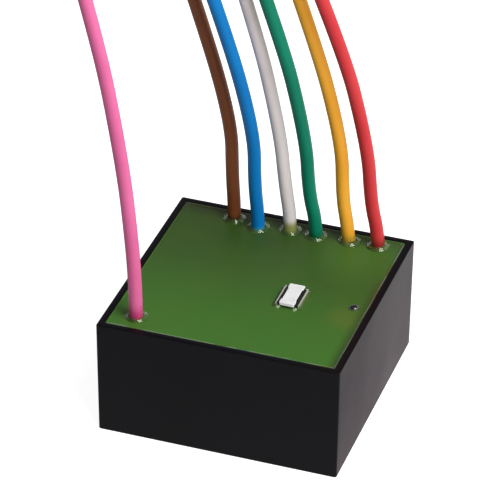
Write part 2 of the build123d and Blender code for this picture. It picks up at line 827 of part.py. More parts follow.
with BuildPart() as power_board:
    with BuildSketch(Plane.XY.offset(power_bottom)):
        RectangleRounded(board_width, board_depth, board_corner)
        with Locations(*leg_places, *relay_pin_places, *link_places):
            RegularPolygon(pin_hole / 2, hole_sides, mode=Mode.SUBTRACT)
        with Locations(*mains_places):
            RegularPolygon(core_hole / 2, hole_sides, mode=Mode.SUBTRACT)
    extrude(amount=power_board_thick)
save(power_board, "power_board")

with BuildPart() as control_board:
    with BuildSketch(Plane.XY.offset(control_bottom)):
        RectangleRounded(board_width, board_depth, board_corner)
        with Locations(*lead_places):
            RegularPolygon(core_hole / 2, hole_sides, mode=Mode.SUBTRACT)
        with Locations((indicator_x, indicator_y)):
            Circle(lens_diameter / 2 + lens_clearance, mode=Mode.SUBTRACT)
    extrude(amount=control_board_thick)
save(control_board, "control_board")

# Control electronics on the underside of the control board
radio_x = antenna_place[0] + radio_offset[0]
radio_y = antenna_place[1] + radio_offset[1]
crystal_x = radio_x
crystal_y = radio_y + radio_size[1] / 2 + chip_row_gap + crystal_size[1] / 2
processor_x = radio_x + radio_size[0] / 2 + processor_gap + processor_size[0] / 2
processor_y = radio_y


def hung_box(name, x, y, size):
    """Chip package hanging under the control board."""
    with BuildPart() as package:
        with BuildSketch(Plane.XY.offset(control_bottom - size[2])):
            with Locations((x, y)):
                Rectangle(size[0], size[1])
        extrude(amount=size[2])
        chamfer(package.faces().sort_by(Axis.Z)[0].edges(), hung_bevel)
    save(package, name)


hung_box("radio_chip", radio_x, radio_y, radio_size)
hung_box("radio_crystal", crystal_x, crystal_y, crystal_size)
hung_box("processor_chip", processor_x, processor_y, processor_size)


def chip_row(x, y):
    """Places of a row of small chips, centred on a point."""
    return [(x + (i - (chips_in_row - 1) / 2) * chip_pitch, y) for i in range(chips_in_row)]


radio_row_y = radio_y - radio_size[1] / 2 - chip_row_gap - chip_capacitor_size[1] / 2
processor_row_y = processor_size[1] / 2 + chip_row_gap + chip_resistor_size[1] / 2
chip_groups = {
    "chip_capacitors": (chip_capacitor_size, chip_row(radio_x, radio_row_y)),
    "chip_resistors": (
        chip_resistor_size,
        chip_row(processor_x, processor_y - processor_row_y)
        + chip_row(processor_x, processor_y + processor_row_y),
    ),
}
for name, (size, places) in chip_groups.items():
    with BuildPart() as small_chips:
        with BuildSketch(Plane.XY.offset(control_bottom - size[2])):
            with Locations(*places):
                Rectangle(size[0], size[1])
        extrude(amount=size[2])
    save(small_chips, name)

# Push button: folded steel frame, moulded tray, snap dome and a key with a drawn-in waist
frame_foot = control_top
tray_foot = frame_foot + button_frame_thick
tray_floor = tray_foot + button_floor
tray_top = tray_foot + button_base_height
dome_top = tray_top - dome_drop
dome_height = dome_top - tray_floor
key_foot = tray_top + key_stop_gap + button_travel
button_plane = Plane(origin=(button_x, button_y, 0))

with BuildPart() as button_frame:
    with BuildSketch(button_plane.offset(frame_foot)):
        Rectangle(button_width, button_length)
    extrude(amount=button_frame_height + button_frame_thick)
    with BuildSketch(button_plane.offset(tray_foot)):
        Rectangle(button_width - 2 * button_frame_thick, button_length)
    extrude(amount=button_frame_height, mode=Mode.SUBTRACT)
    outer_bends = button_frame.faces().sort_by(Axis.Z)[0].edges().filter_by(Axis.Y)
    chamfer(outer_bends, button_frame_bend)
save(button_frame, "button_frame")

with BuildPart() as button_base:
    with BuildSketch(button_plane.offset(tray_foot)):
        Rectangle(button_base_width, button_length)
    extrude(amount=button_base_height)
    chamfer(button_base.edges().filter_by(Axis.Z), base_corner)
    with BuildSketch(button_plane.offset(tray_floor)):
        Rectangle(key_plug_width + 2 * key_clearance, key_plug_length + 2 * key_clearance)
    extrude(amount=button_base_height, mode=Mode.SUBTRACT)
save(button_base, "button_base")

# The dome's profile runs from its rim up to a flat crown and back along its inner face
rim = dome_diameter / 2
crown = dome_crown / 2
with BuildPart() as button_dome:
    with BuildSketch(upright(button_x, button_y, tray_floor)):
        with BuildLine():
            Polyline(
                (rim, 0),
                (crown, dome_height),
                (0, dome_height),
                (0, dome_height - dome_thick),
                (crown - dome_crown_inset, dome_height - dome_thick),
                (rim - dome_rim_thick, 0),
                close=True,
            )
        make_face()
    revolve(axis=Axis((button_x, button_y, tray_floor), (0, 0, 1)))
save(button_dome, "button_dome")

# The key reaches over both ends of the frame, and its ends fold down in front of them
waist_step = (key_end_width - key_waist_width) / 2
key_length = button_length + 2 * key_overhang
plug_foot = dome_top + dome_play
with BuildPart() as button_key:
    with BuildSketch(button_plane.offset(key_foot)):
        Rectangle(key_end_width, key_length)
        for side in (-1, 1):
            with Locations((side * (key_end_width - waist_step) / 2, 0)):
                Rectangle(waist_step, key_waist_length, mode=Mode.SUBTRACT)
        chamfer(vertices(), key_waist_bevel)
    extrude(amount=key_thick)
    chamfer(button_key.faces().sort_by(Axis.Z)[-1].edges(), key_top_bevel)
    with BuildSketch(button_plane.offset(plug_foot)):
        Rectangle(key_plug_width, key_plug_length)
    extrude(amount=key_foot - plug_foot)
    with BuildSketch(button_plane.offset(key_foot - key_skirt_drop)):
        with GridLocations(0, key_length - key_skirt_thick, 1, 2):
            Rectangle(key_end_width - 2 * key_waist_bevel, key_skirt_thick)
    extrude(amount=key_skirt_drop)
save(button_key, "button_key")

with BuildPart() as button_terminals:
    with BuildSketch(button_plane.offset(control_top)):
        for end in (-1, 1):
            for side in (-1, 1):
                with Locations((side * terminal_spacing / 2, end * (button_length + terminal_reach) / 2)):
                    Rectangle(terminal_width, terminal_reach)
    extrude(amount=terminal_thick)
save(button_terminals, "button_terminals")

# Indicator: domed lens standing through the board on the lamp under it
with BuildPart() as indicator_lamp:
    with BuildSketch(Plane.XY.offset(control_bottom - led_height)):
        with Locations((indicator_x, indicator_y)):
            Rectangle(led_width, led_length)
    extrude(amount=led_height)
save(indicator_lamp, "indicator_lamp")

lens_radius = lens_diameter / 2
lens_shoulder = control_board_thick + coat_thick
with BuildPart() as indicator_lens:
    with BuildSketch(upright(indicator_x, indicator_y, control_bottom)):
        with BuildLine():
            dome_rings = [
                (lens_radius * cos(radians(a)), lens_shoulder + lens_rise * sin(radians(a)))
                for a in lens_dome_angles
            ]
            lens_tip = (0, lens_shoulder + lens_rise)
            Polyline((0, 0), (lens_radius, 0), *dome_rings, lens_tip, close=True)
        make_face()
    revolve(axis=Axis((indicator_x, indicator_y, control_bottom), (0, 0, 1)))
save(indicator_lens, "indicator_lens")


def lead(name):
    """Insulation swept along straight runs joined by tangent arcs. Returns its upper end."""
    foot_x, foot_y = lead_feet[name]
    points = [Vector(foot_x + x, foot_y + y, control_top + z) for x, y, z in lead_routes[name]]
    runs = [b - a for a, b in zip(points, points[1:])]
    radii = []
    for before, after in zip(runs, runs[1:]):
        half_turn = radians(before.get_angle(after)) / 2
        radii.append(run_share * min(before.length, after.length) / tan(half_turn))
    with BuildPart() as insulation:
        with BuildLine() as route:
            FilletPolyline(*points, radius=radii)
        path = route.wires()[0]
        with BuildSketch(Plane(origin=path @ 0)) as section:
            RegularPolygon(lead_radius, lead_sides)
        sweep(path=path)
    save(insulation, name)
    drift = insulation.part.volume / (section.sketch.area * path.length) - 1
    print(name, "length", round(path.length, 2), "radii", [round(r) for r in radii])
    print(name, "volume against section times length", f"{drift:+.5f}")
    return Plane(origin=path @ 1, z_dir=path % 1)


lead_ends = {name: lead(name) for name in lead_feet}

# Stripped ends: the bare copper beyond the insulation. The antenna is cut square and has none.
with BuildPart() as stripped_ends:
    for name, end in lead_ends.items():
        if name != "antenna_lead":
            with BuildSketch(end):
                Circle(core_diameter / 2)
            extrude(amount=stripped_length)
            middle = end.origin + end.z_dir * (stripped_length / 2)
            print(name, "bare end: middle", middle, "axis", end.z_dir)
save(stripped_ends, "stripped_ends")

# Cores below the insulation: six reach the power board, the antenna's ends under the control board
with BuildPart() as lead_cores:
    with BuildSketch(Plane.XY.offset(tail_end)):
        with Locations(*mains_places):
            RegularPolygon(core_diameter / 2, core_sides)
    extrude(amount=control_top - tail_end)
    with BuildSketch(Plane.XY.offset(control_bottom - pin_tail)):
        with Locations(antenna_place):
            RegularPolygon(core_diameter / 2, core_sides)
    extrude(amount=control_top - control_bottom + pin_tail)
save(lead_cores, "lead_cores")

# Solder under each core: one faceted cone, hung round the tail of every core
with BuildPart() as solder_cone:
    with BuildSketch(Plane.XY.offset(-solder_height)):
        RegularPolygon(solder_foot / 2, core_sides)
        RegularPolygon(core_diameter / 2, core_sides, mode=Mode.SUBTRACT)
    extrude(amount=solder_height)
    underside = solder_cone.faces().sort_by(Axis.Z)[0]
    chamfer(
        underside.outer_wire().edges(),
        length=(solder_foot - solder_neck) / 2,
        length2=solder_height - solder_rim,
        reference=underside,
    )

with BuildPart() as lead_solder:
    with Locations(*[(*place, power_bottom) for place in mains_places], (*antenna_place, control_bottom)):
        add(solder_cone.part)
save(lead_solder, "lead_solder")

# Clear coat over the board, climbing each lead's foot in two slopes, the upper one steeper
collar_reach = sum(reach for reach, climb in collar_steps)
collar_climb = sum(climb for reach, climb in collar_steps)
with BuildPart() as coat_collar:
    radius = lead_radius + collar_reach
    level = 0
    for reach, climb in collar_steps:
        with BuildSketch(Plane.XY.offset(level)):
            RegularPolygon(radius, lead_sides)
        extrude(amount=climb)
        top = coat_collar.faces().sort_by(Axis.Z)[-1]
        slope = reach * cos(pi / lead_sides)
        chamfer(top.edges(), length=slope, length2=climb - collar_rim, reference=top)
        radius -= reach
        level += climb

with BuildPart() as clear_coat:
    with BuildSketch(Plane.XY.offset(control_top)):
        hollow_outline(control_top)
    extrude(amount=coat_thick, taper=-draft_angle)
    with Locations(*[(*place, coat_top) for place in lead_places]):
        add(coat_collar.part)
    with BuildSketch(Plane.XY.offset(control_top)):
        with Locations(*lead_places):
            RegularPolygon(lead_radius, lead_sides)
        with Locations((indicator_x, indicator_y)):
            Circle(lens_radius + lens_clearance)
        with Locations((button_x, button_y)):
            Rectangle(button_width + 2 * key_clearance, button_length + 2 * (terminal_reach + key_clearance))
    extrude(amount=collar_climb + 2 * coat_thick, mode=Mode.SUBTRACT)
save(clear_coat, "clear_coat")

# Casting resin: fills the box up to the coat, with a pocket for each thing that hangs inside
leg_room = pin_side / 2 + resin_gap
small_row_width = (chips_in_row - 1) * chip_pitch + chip_capacitor_size[0]
small_rows = [
    (radio_x, radio_row_y, chip_capacitor_size[2]),
    (processor_x, processor_y - processor_row_y, chip_resistor_size[2]),
    (processor_x, processor_y + processor_row_y, chip_resistor_size[2]),
]
tab_room = 2 * tab_reach
box_pockets = [
    (film_x, film_y, film_width, film_length, power_top, supply_room - film_headroom),
    (
        resistor_x,
        resistor_y,
        resistor_cap_diameter,
        resistor_length + 2 * (lead_bend_reach + leg_room),
        power_top,
        resistor_z - power_top + resistor_cap_diameter / 2,
    ),
    (
        varistor_x,
        varistor_y,
        varistor_thick,
        varistor_diameter,
        power_top,
        resistor_lift + varistor_diameter,
    ),
    (bridge_x, bridge_y, bridge_size[0], bridge_size[1] + tab_room, power_top, tab_thick + bridge_size[2]),
    (
        controller_x,
        controller_y,
        controller_size[0],
        controller_size[1] + tab_room,
        power_top,
        tab_thick + controller_size[2],
    ),
    (diode_x, diode_y, diode_size[0] + tab_room, diode_size[1], power_top, tab_thick + diode_size[2]),
    (
        regulator_x,
        regulator_y,
        regulator_size[0],
        regulator_size[1] + tab_room,
        power_top,
        tab_thick + regulator_size[2],
    ),
    *[
        (x, y, driver_size[0] + tab_room, driver_size[1], power_top, tab_thick + driver_size[2])
        for x, y in driver_places
    ],
    (
        transformer_x,
        transformer_y,
        transformer_core_width,
        bobbin_flange_depth,
        power_top,
        transformer_lift + transformer_core_height,
    ),
    (link_x, link_y, link_length, link_strip_width, power_top, supply_room),
    (radio_x, radio_y, radio_size[0], radio_size[1], control_bottom - radio_size[2], radio_size[2]),
    (
        crystal_x,
        crystal_y,
        crystal_size[0],
        crystal_size[1],
        control_bottom - crystal_size[2],
        crystal_size[2],
    ),
    (
        processor_x,
        processor_y,
        processor_size[0],
        processor_size[1],
        control_bottom - processor_size[2],
        processor_size[2],
    ),
    *[
        (x, y, small_row_width, chip_capacitor_size[1], control_bottom - size_up, size_up)
        for x, y, size_up in small_rows
    ],
    (indicator_x, indicator_y, led_width, led_length, control_bottom - led_height, led_height),
]
round_pockets = [
    (can_x, can_y, can_radius, power_top, can_height),
    (small_can_x, small_can_y, small_can_radius, power_top, small_can_height),
    *[(x, y, core_diameter / 2, power_top, supply_room) for x, y in mains_places],
    (*antenna_place, solder_foot / 2, control_bottom - pin_tail, pin_tail),
]
with BuildPart() as casting_resin:
    with BuildSketch(Plane.XY.offset(floor_thick)):
        hollow_outline(floor_thick)
    extrude(amount=control_top - floor_thick, taper=-draft_angle)
    for level, thick in ((power_bottom, power_board_thick), (control_bottom, control_board_thick)):
        with BuildSketch(Plane.XY.offset(level)):
            RectangleRounded(board_width, board_depth, board_corner)
        extrude(amount=thick, mode=Mode.SUBTRACT)
    with BuildSketch(Plane.XY.offset(tail_end)):
        Rectangle(board_width - 2 * edge_margin, board_depth - 2 * edge_margin)
    extrude(amount=power_bottom - tail_end, mode=Mode.SUBTRACT)
    for seat in relay_seats:
        with BuildSketch(seat):
            Rectangle(relay_length, relay_width)
        extrude(amount=relay_height, mode=Mode.SUBTRACT)
    for x, y, width, depth, foot, height in box_pockets:
        with BuildSketch(Plane(origin=(x, y, foot - resin_gap))):
            Rectangle(width + 2 * resin_gap, depth + 2 * resin_gap)
        extrude(amount=height + 2 * resin_gap, mode=Mode.SUBTRACT)
    for x, y, radius, foot, height in round_pockets:
        with BuildSketch(Plane(origin=(x, y, foot - resin_gap))):
            RegularPolygon(radius + resin_gap, core_sides, major_radius=False)
        extrude(amount=height + 2 * resin_gap, mode=Mode.SUBTRACT)
save(casting_resin, "casting_resin")
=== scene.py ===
import logging
from collections.abc import Callable
from dataclasses import dataclass, field
from enum import Enum
from math import cos, pi, radians, sin

import bpy
import numpy as np
from mathutils import Matrix, Vector


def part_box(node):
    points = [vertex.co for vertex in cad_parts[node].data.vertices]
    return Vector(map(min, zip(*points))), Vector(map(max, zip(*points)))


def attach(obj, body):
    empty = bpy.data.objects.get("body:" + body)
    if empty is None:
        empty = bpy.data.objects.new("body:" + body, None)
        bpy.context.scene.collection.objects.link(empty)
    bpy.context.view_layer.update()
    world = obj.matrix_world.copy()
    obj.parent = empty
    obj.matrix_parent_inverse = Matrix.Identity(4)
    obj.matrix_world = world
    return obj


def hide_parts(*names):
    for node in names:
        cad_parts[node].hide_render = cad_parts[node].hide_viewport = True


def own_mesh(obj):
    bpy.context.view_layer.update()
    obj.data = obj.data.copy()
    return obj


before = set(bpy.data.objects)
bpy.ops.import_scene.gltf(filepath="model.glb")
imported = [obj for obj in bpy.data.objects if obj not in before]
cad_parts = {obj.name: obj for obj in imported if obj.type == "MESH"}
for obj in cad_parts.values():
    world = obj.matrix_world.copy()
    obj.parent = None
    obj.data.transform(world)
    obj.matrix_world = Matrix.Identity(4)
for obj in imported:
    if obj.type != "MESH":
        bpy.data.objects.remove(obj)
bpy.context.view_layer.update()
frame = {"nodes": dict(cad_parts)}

# A radio receiver seen from the front right: a black potting box closed by a green board under
# a film of clear resin, seven stiff leads standing on it, a push button and an indicator.
# Metres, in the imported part's own frame.

log = logging.getLogger("receiver")
MM = 0.001

Colour = tuple[float, float, float, float]
Point = tuple[float, float, float]
Span = tuple[float, float]
Shape = tuple[np.ndarray, list[np.ndarray]]
Socket = bpy.types.NodeSocket
Feed = Socket | float | tuple[float, ...]


class Body(Enum):
    """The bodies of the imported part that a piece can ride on."""

    RECEIVER = "receiver"
    BUTTON = "button"


class Lay(Enum):
    """The way that fine lines run over a surface, as a stretch of the pattern along each axis."""

    ALONG_X = (0.06, 1.0, 1.0)
    ALONG_Y = (1.0, 0.06, 1.0)
    ALONG_Z = (1.0, 1.0, 0.06)
    NONE = (1.0, 1.0, 1.0)


@dataclass(frozen=True)
class Room:
    """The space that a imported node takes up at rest."""

    low: Vector
    high: Vector

    @classmethod
    def of(cls, node: str) -> "Room":
        """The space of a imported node, by its name."""
        return cls(*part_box(node))

    @property
    def width(self) -> float:
        """Size along X."""
        return self.high.x - self.low.x

    @property
    def depth(self) -> float:
        """Size along Y."""
        return self.high.y - self.low.y

    @property
    def height(self) -> float:
        """Size along Z."""
        return self.high.z - self.low.z

    @property
    def centre(self) -> tuple[float, float]:
        """The middle, seen from above."""
        middle = (self.low + self.high) / 2
        return middle.x, middle.y


def srgb(red: float, green: float, blue: float) -> Colour:
    """Turn a colour as a screen shows it, 0 to 255, into linear light.

    Args:
        red: Red, 0 to 255.
        green: Green, 0 to 255.
        blue: Blue, 0 to 255.

    Returns:
        The linear colour with an alpha of 1.
    """
    shown = np.array([red, green, blue]) / 255
    light = np.where(shown <= 0.04045, shown / 12.92, ((shown + 0.055) / 1.055) ** 2.4)
    return (*light.tolist(), 1.0)


# Meshes worked out as arrays


def quarter_turn(steps: int = 6) -> np.ndarray:
    """Angles from 0 to a right angle, evenly spaced, as the steps of a rounded edge."""
    return np.linspace(0, pi / 2, steps)


def full_turn(steps: int) -> np.ndarray:
    """Angles once round a circle, evenly spaced, the first at 0."""
    return np.linspace(0, 2 * pi, steps, endpoint=False)


def grid_quads(rows: int, columns: int, closed_rows: bool, closed_columns: bool) -> np.ndarray:
    """Number the quads of a grid of points, in rows and columns.

    Args:
        rows: How many rows of points there are.
        columns: How many points a row has.
        closed_rows: Whether the last row joins the first.
        closed_columns: Whether each row's last point joins its first.

    Returns:
        An array of quads, each four point numbers.
    """
    i = np.arange(rows if closed_rows else rows - 1)[:, None]
    j = np.arange(columns if closed_columns else columns - 1)[None, :]
    next_i = (i + 1) % rows
    next_j = (j + 1) % columns
    corners = [i * columns + j, i * columns + next_j, next_i * columns + next_j, next_i * columns + j]
    return np.stack([np.broadcast_to(c, (i.size, j.size)) for c in corners], -1).reshape(-1, 4)


def make_object(
    name: str, points: np.ndarray, faces: list[np.ndarray], smooth: bool = True
) -> bpy.types.Object:
    """Put points and faces into a mesh and link its object at the origin.

    Args:
        name: The piece's name.
        points: The points, n by 3, in metres.
        faces: Arrays of faces, each with its own count of corners.
        smooth: Whether the faces shade smoothly.

    Returns:
        The new object.
    """
    mesh = bpy.data.meshes.new(name)
    corners = np.concatenate([f.reshape(-1) for f in faces]).astype(np.int32)
    counts = np.concatenate([np.full(len(f), f.shape[1]) for f in faces])
    starts = np.concatenate([[0], np.cumsum(counts)[:-1]]).astype(np.int32)
    mesh.vertices.add(len(points))
    mesh.vertices.foreach_set("co", points.astype(np.float32).reshape(-1))
    mesh.loops.add(len(corners))
    mesh.loops.foreach_set("vertex_index", corners)
    mesh.polygons.add(len(counts))
    mesh.polygons.foreach_set("loop_start", starts)
    mesh.polygons.foreach_set("use_smooth", np.full(len(counts), smooth))
    mesh.update(calc_edges=True)
    mesh.validate()
    piece = bpy.data.objects.new(name, mesh)
    bpy.context.scene.collection.objects.link(piece)
    log.info("%s: %d points, %d faces", name, len(points), len(counts))
    return piece


def fitted(
    piece: bpy.types.Object,
    material: bpy.types.Material,
    node: str = "",
    body: Body = Body.RECEIVER,
) -> bpy.types.Object:
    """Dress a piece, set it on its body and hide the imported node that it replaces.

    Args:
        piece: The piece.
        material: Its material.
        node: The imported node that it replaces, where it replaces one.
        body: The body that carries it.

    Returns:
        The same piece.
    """
    piece.data.materials.append(material)
    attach(piece, body.value)
    if node:
        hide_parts(node)
    return piece


def joined(parts: list[Shape]) -> Shape:
    """Join several shapes into one.

    Args:
        parts: The points and the faces of each shape.

    Returns:
        All the points, and all the faces renumbered.
    """
    points = []
    faces = []
    count = 0
    for part_points, part_faces in parts:
        points.append(part_points)
        faces.extend(f + count for f in part_faces)
        count += len(part_points)
    return np.concatenate(points), faces


def smooth_step(value: np.ndarray) -> np.ndarray:
    """Ease from 0 to 1: three t squared less two t cubed, with t held between 0 and 1."""
    t = np.clip(value, 0, 1)
    return t * t * (3 - 2 * t)


def lofted(sections: np.ndarray) -> Shape:
    """Skin closed sections, one above the other, and close both ends on a point at their middle.

    Args:
        sections: Points, levels by points round by 3, anticlockwise seen from above, rising.

    Returns:
        The points and the faces.
    """
    levels, around, _ = sections.shape
    points = np.concatenate([sections.reshape(-1, 3), sections[0].mean(0)[None], sections[-1].mean(0)[None]])
    ring = np.arange(around)
    following = (ring + 1) % around
    low = np.stack([following, ring, np.full(around, levels * around)], -1)
    top_row = (levels - 1) * around
    high = np.stack([top_row + ring, top_row + following, np.full(around, levels * around + 1)], -1)
    return points, [grid_quads(levels, around, False, True), low, high]


def stacked(levels: list[tuple[np.ndarray, float]], centre: tuple[float, float]) -> Shape:
    """Skin flat outlines that lie one above the other about an upright axis.

    Args:
        levels: Each outline about the axis, n by 2, and its height, from the foot up.
        centre: Where the axis stands.

    Returns:
        The points and the faces.
    """
    sections = [np.column_stack([plan + np.array(centre), np.full(len(plan), z)]) for plan, z in levels]
    return lofted(np.stack(sections))


def turned(profile: np.ndarray, centre: Point, around: int = 64) -> Shape:
    """Turn a profile about an upright axis.

    Args:
        profile: Radii and heights from the foot up, n by 2.
        centre: The foot of the axis.
        around: How many points go round.

    Returns:
        The points and the faces of the closed shape.
    """
    angle = full_turn(around)
    x = profile[:, :1] * np.cos(angle) + centre[0]
    y = profile[:, :1] * np.sin(angle) + centre[1]
    z = np.broadcast_to(profile[:, 1:] + centre[2], x.shape)
    return lofted(np.stack([x, y, z], -1))


def rounded_rectangle(
    width: float, depth: float, radius: float, per_corner: int = 12, per_side: int = 24
) -> np.ndarray:
    """Points and outward directions round a rectangle with quarter-circle corners.

    Each corner is the circle's own formula, and each side is divided evenly between corners.

    Args:
        width: Size along X.
        depth: Size along Y.
        radius: Corner radius.
        per_corner: Points in a corner.
        per_side: Points in a side.

    Returns:
        Rows of x, y and the outward direction's x and y, anticlockwise.
    """
    corners = np.array([(1, 1), (-1, 1), (-1, -1), (1, -1)]) * (width / 2 - radius, depth / 2 - radius)
    share = np.linspace(0, 1, per_side + 2)[1:-1, None]
    rows = []
    for number, corner in enumerate(corners):
        angle = quarter_turn(per_corner) + number * pi / 2
        out = np.stack([np.cos(angle), np.sin(angle)], -1)
        arc = np.concatenate([corner + radius * out, out], -1)
        side_out = np.array([cos((number + 1) * pi / 2), sin((number + 1) * pi / 2)])
        following = corners[(number + 1) % 4] + radius * side_out
        side = arc[-1, :2] * (1 - share) + following * share
        rows += [arc, np.concatenate([side, np.broadcast_to(side_out, side.shape)], -1)]
    return np.concatenate(rows)


def circle_outline(radius: float, around: int = 96) -> np.ndarray:
    """Points and outward directions round a circle, as rounded_rectangle gives them.

    Args:
        radius: The circle's radius.
        around: How many points go round.

    Returns:
        Rows of x, y and the outward direction's x and y, anticlockwise.
    """
    angle = full_turn(around)
    out = np.stack([np.cos(angle), np.sin(angle)], -1)
    return np.concatenate([radius * out, out], -1)


def uneven(count: int, seed: int, depth: float) -> np.ndarray:
    """A gentle closed ripple about 1: three cosines with seeded phases.

    Args:
        count: How many values go round.
        seed: Chooses the phases.
        depth: The largest share that the ripple adds or takes.

    Returns:
        The values.
    """
    swells = np.array([1, 2, 5])
    shares = np.array([0.5, 0.3, 0.2])
    phases = np.random.default_rng(seed).uniform(0, 2 * pi, 3)
    angle = full_turn(count)[:, None]
    waves = np.cos(angle * swells + phases) * shares
    return 1 + depth * waves.sum(1)


def drawn_up(share: np.ndarray) -> np.ndarray:
    """Height of resin drawn up a wall at a share s of its reach: (1 - s) to the power 2.4."""
    return (1 - share) ** 2.4


def mounded(share: np.ndarray) -> np.ndarray:
    """Height of a resin mound at a share s of its reach.

    Half of it falls in a straight slope and half eases away at both ends, over the middle of
    the reach, and a thin lip at the wall itself dies away as an exponential of the share.

    Args:
        share: Shares of the reach, 0 at the wall.

    Returns:
        Shares of the climb, 1 at the wall.
    """
    shoulder, slope = 0.14, 0.68
    lip, lip_width = 0.12, 0.05
    along = (share - shoulder) / slope
    fall = 1 - 0.5 * smooth_step(along) - 0.5 * np.clip(along, 0, 1)
    return (1 - lip) * fall + lip * np.exp(-share / lip_width)


def meniscus(
    outline: np.ndarray,
    centre: tuple[float, float],
    level: float,
    climb: np.ndarray,
    reach: np.ndarray,
    side: int = 1,
    fall: Callable[[np.ndarray], np.ndarray] = drawn_up,
    root: float = 0.06 * MM,
) -> Shape:
    """Resin round or inside a wall: a closed ring whose section falls away from the wall.

    At a share of the reach the height is the climb times the fall's own formula. The steps lie
    a little closer together near the wall. The underside is flat, a root below the film's level.

    Args:
        outline: The wall's points and outward directions.
        centre: Where the outline's middle lies.
        level: Height of the film's surface.
        climb: Height up the wall at each point.
        reach: Spread over the film at each point.
        side: 1 for resin outside the wall, -1 for resin inside it.
        fall: The section's formula.
        root: Depth of the ring's underside.

    Returns:
        The points and the faces.
    """
    steps, crowding = 26, 1.15
    upper = np.linspace(0, 1, steps) ** crowding
    share = np.concatenate([upper, [1.0, 0.5, 0.0]])
    away = side * reach[:, None] * share
    section = np.empty((len(outline), len(share), 3))
    section[..., :2] = outline[:, None, :2] + np.array(centre) + away[..., None] * outline[:, None, 2:]
    section[:, :steps, 2] = level + climb[:, None] * fall(upper)
    section[:, steps:, 2] = level - root
    if side < 0:
        section = section[:, ::-1]
    return section.reshape(-1, 3), [grid_quads(*section.shape[:2], True, True)]


def swept_tube(line: np.ndarray, radius: float, end_round: float, around: int = 40) -> Shape:
    """Carry a circle along a line that never runs level along Y, and round its far edge.

    Each circle lies across the line's own direction t: its second axis is Y less its share
    along t, made unit long, and its first is that axis crossed with t. At the far end the
    circles shrink and step forward as a quarter of a circle.

    Args:
        line: The points along the middle, n by 3.
        radius: The tube's radius.
        end_round: How much the far edge is rounded.
        around: Points in a circle.

    Returns:
        The points and the faces.
    """
    along = np.gradient(line, axis=0)
    along /= np.linalg.norm(along, axis=1)[:, None]
    turn = quarter_turn()
    last = line[-1] - along[-1] * end_round * (1 - np.sin(turn))[:, None]
    middles = np.concatenate([line[:-1], last])
    radii = np.concatenate([np.full(len(line) - 1, radius), radius - end_round * (1 - np.cos(turn))])
    along = np.concatenate([along[:-1], np.repeat(along[-1:], len(turn), 0)])
    second = np.array([0.0, 1.0, 0.0]) - along[:, 1:2] * along
    second /= np.linalg.norm(second, axis=1)[:, None]
    first = np.cross(second, along)
    angle = full_turn(around)[:, None]
    ring = np.cos(angle) * first[:, None] + np.sin(angle) * second[:, None]
    return lofted(middles[:, None] + radii[:, None, None] * ring)


# Shader nodes, and the effects that several materials share


def join(tree: bpy.types.NodeTree, value: Feed, socket: Socket) -> None:
    """Join a socket to an input, or set the input to a constant.

    Args:
        tree: The tree that holds both.
        value: An output socket, or a constant.
        socket: The input.
    """
    if isinstance(value, Socket):
        tree.links.new(value, socket)
    else:
        socket.default_value = value


def math_node(tree: bpy.types.NodeTree, operation: str, *values: Feed, clamp: bool = False) -> Socket:
    """Add a Math node.

    Args:
        tree: Where it goes.
        operation: What it works out.
        *values: Its inputs, each a socket or a number.
        clamp: Whether the result is held between 0 and 1.

    Returns:
        Its output.
    """
    node = tree.nodes.new("ShaderNodeMath")
    node.operation = operation
    node.use_clamp = clamp
    for socket, value in zip(node.inputs, values):
        join(tree, value, socket)
    return node.outputs[0]


def vector_node(tree: bpy.types.NodeTree, operation: str, first: Feed, second: Feed) -> bpy.types.NodeOutputs:
    """Add a Vector Math node.

    Args:
        tree: Where it goes.
        operation: What it works out.
        first: Its first vector.
        second: Its second vector.

    Returns:
        Its outputs.
    """
    node = tree.nodes.new("ShaderNodeVectorMath")
    node.operation = operation
    join(tree, first, node.inputs[0])
    join(tree, second, node.inputs[1])
    return node.outputs


def axes_node(tree: bpy.types.NodeTree, vector: Socket) -> bpy.types.NodeOutputs:
    """Split a vector into its parts.

    Args:
        tree: Where the node goes.
        vector: The vector.

    Returns:
        The outputs X, Y and Z.
    """
    node = tree.nodes.new("ShaderNodeSeparateXYZ")
    tree.links.new(vector, node.inputs[0])
    return node.outputs


def noise_node(
    tree: bpy.types.NodeTree, vector: Socket, scale: Feed, detail: float = 4, roughness: float = 0.55
) -> Socket:
    """Add a Noise Texture.

    Args:
        tree: Where it goes.
        vector: The place that it reads.
        scale: Its scale, a socket or a number.
        detail: How many finer layers it has.
        roughness: How strong the finer layers are.

    Returns:
        Its value.
    """
    node = tree.nodes.new("ShaderNodeTexNoise")
    values = {"Vector": vector, "Scale": scale, "Detail": detail, "Roughness": roughness}
    for label, value in values.items():
        join(tree, value, node.inputs[label])
    return node.outputs["Fac"]


def ramp_node(tree: bpy.types.NodeTree, value: Socket, low: Feed, high: Feed, fall: bool = False) -> Socket:
    """Add a mask that eases from 0 to 1 as a value goes from low to high.

    Args:
        tree: Where it goes.
        value: The value.
        low: Where the mask starts.
        high: Where it ends.
        fall: Whether the mask goes from 1 to 0 instead.

    Returns:
        The mask.
    """
    node = tree.nodes.new("ShaderNodeMapRange")
    node.interpolation_type = "SMOOTHSTEP"
    ends = (1.0, 0.0) if fall else (0.0, 1.0)
    values = {"Value": value, "From Min": low, "From Max": high, "To Min": ends[0], "To Max": ends[1]}
    for label, number in values.items():
        join(tree, number, node.inputs[label])
    return node.outputs["Result"]


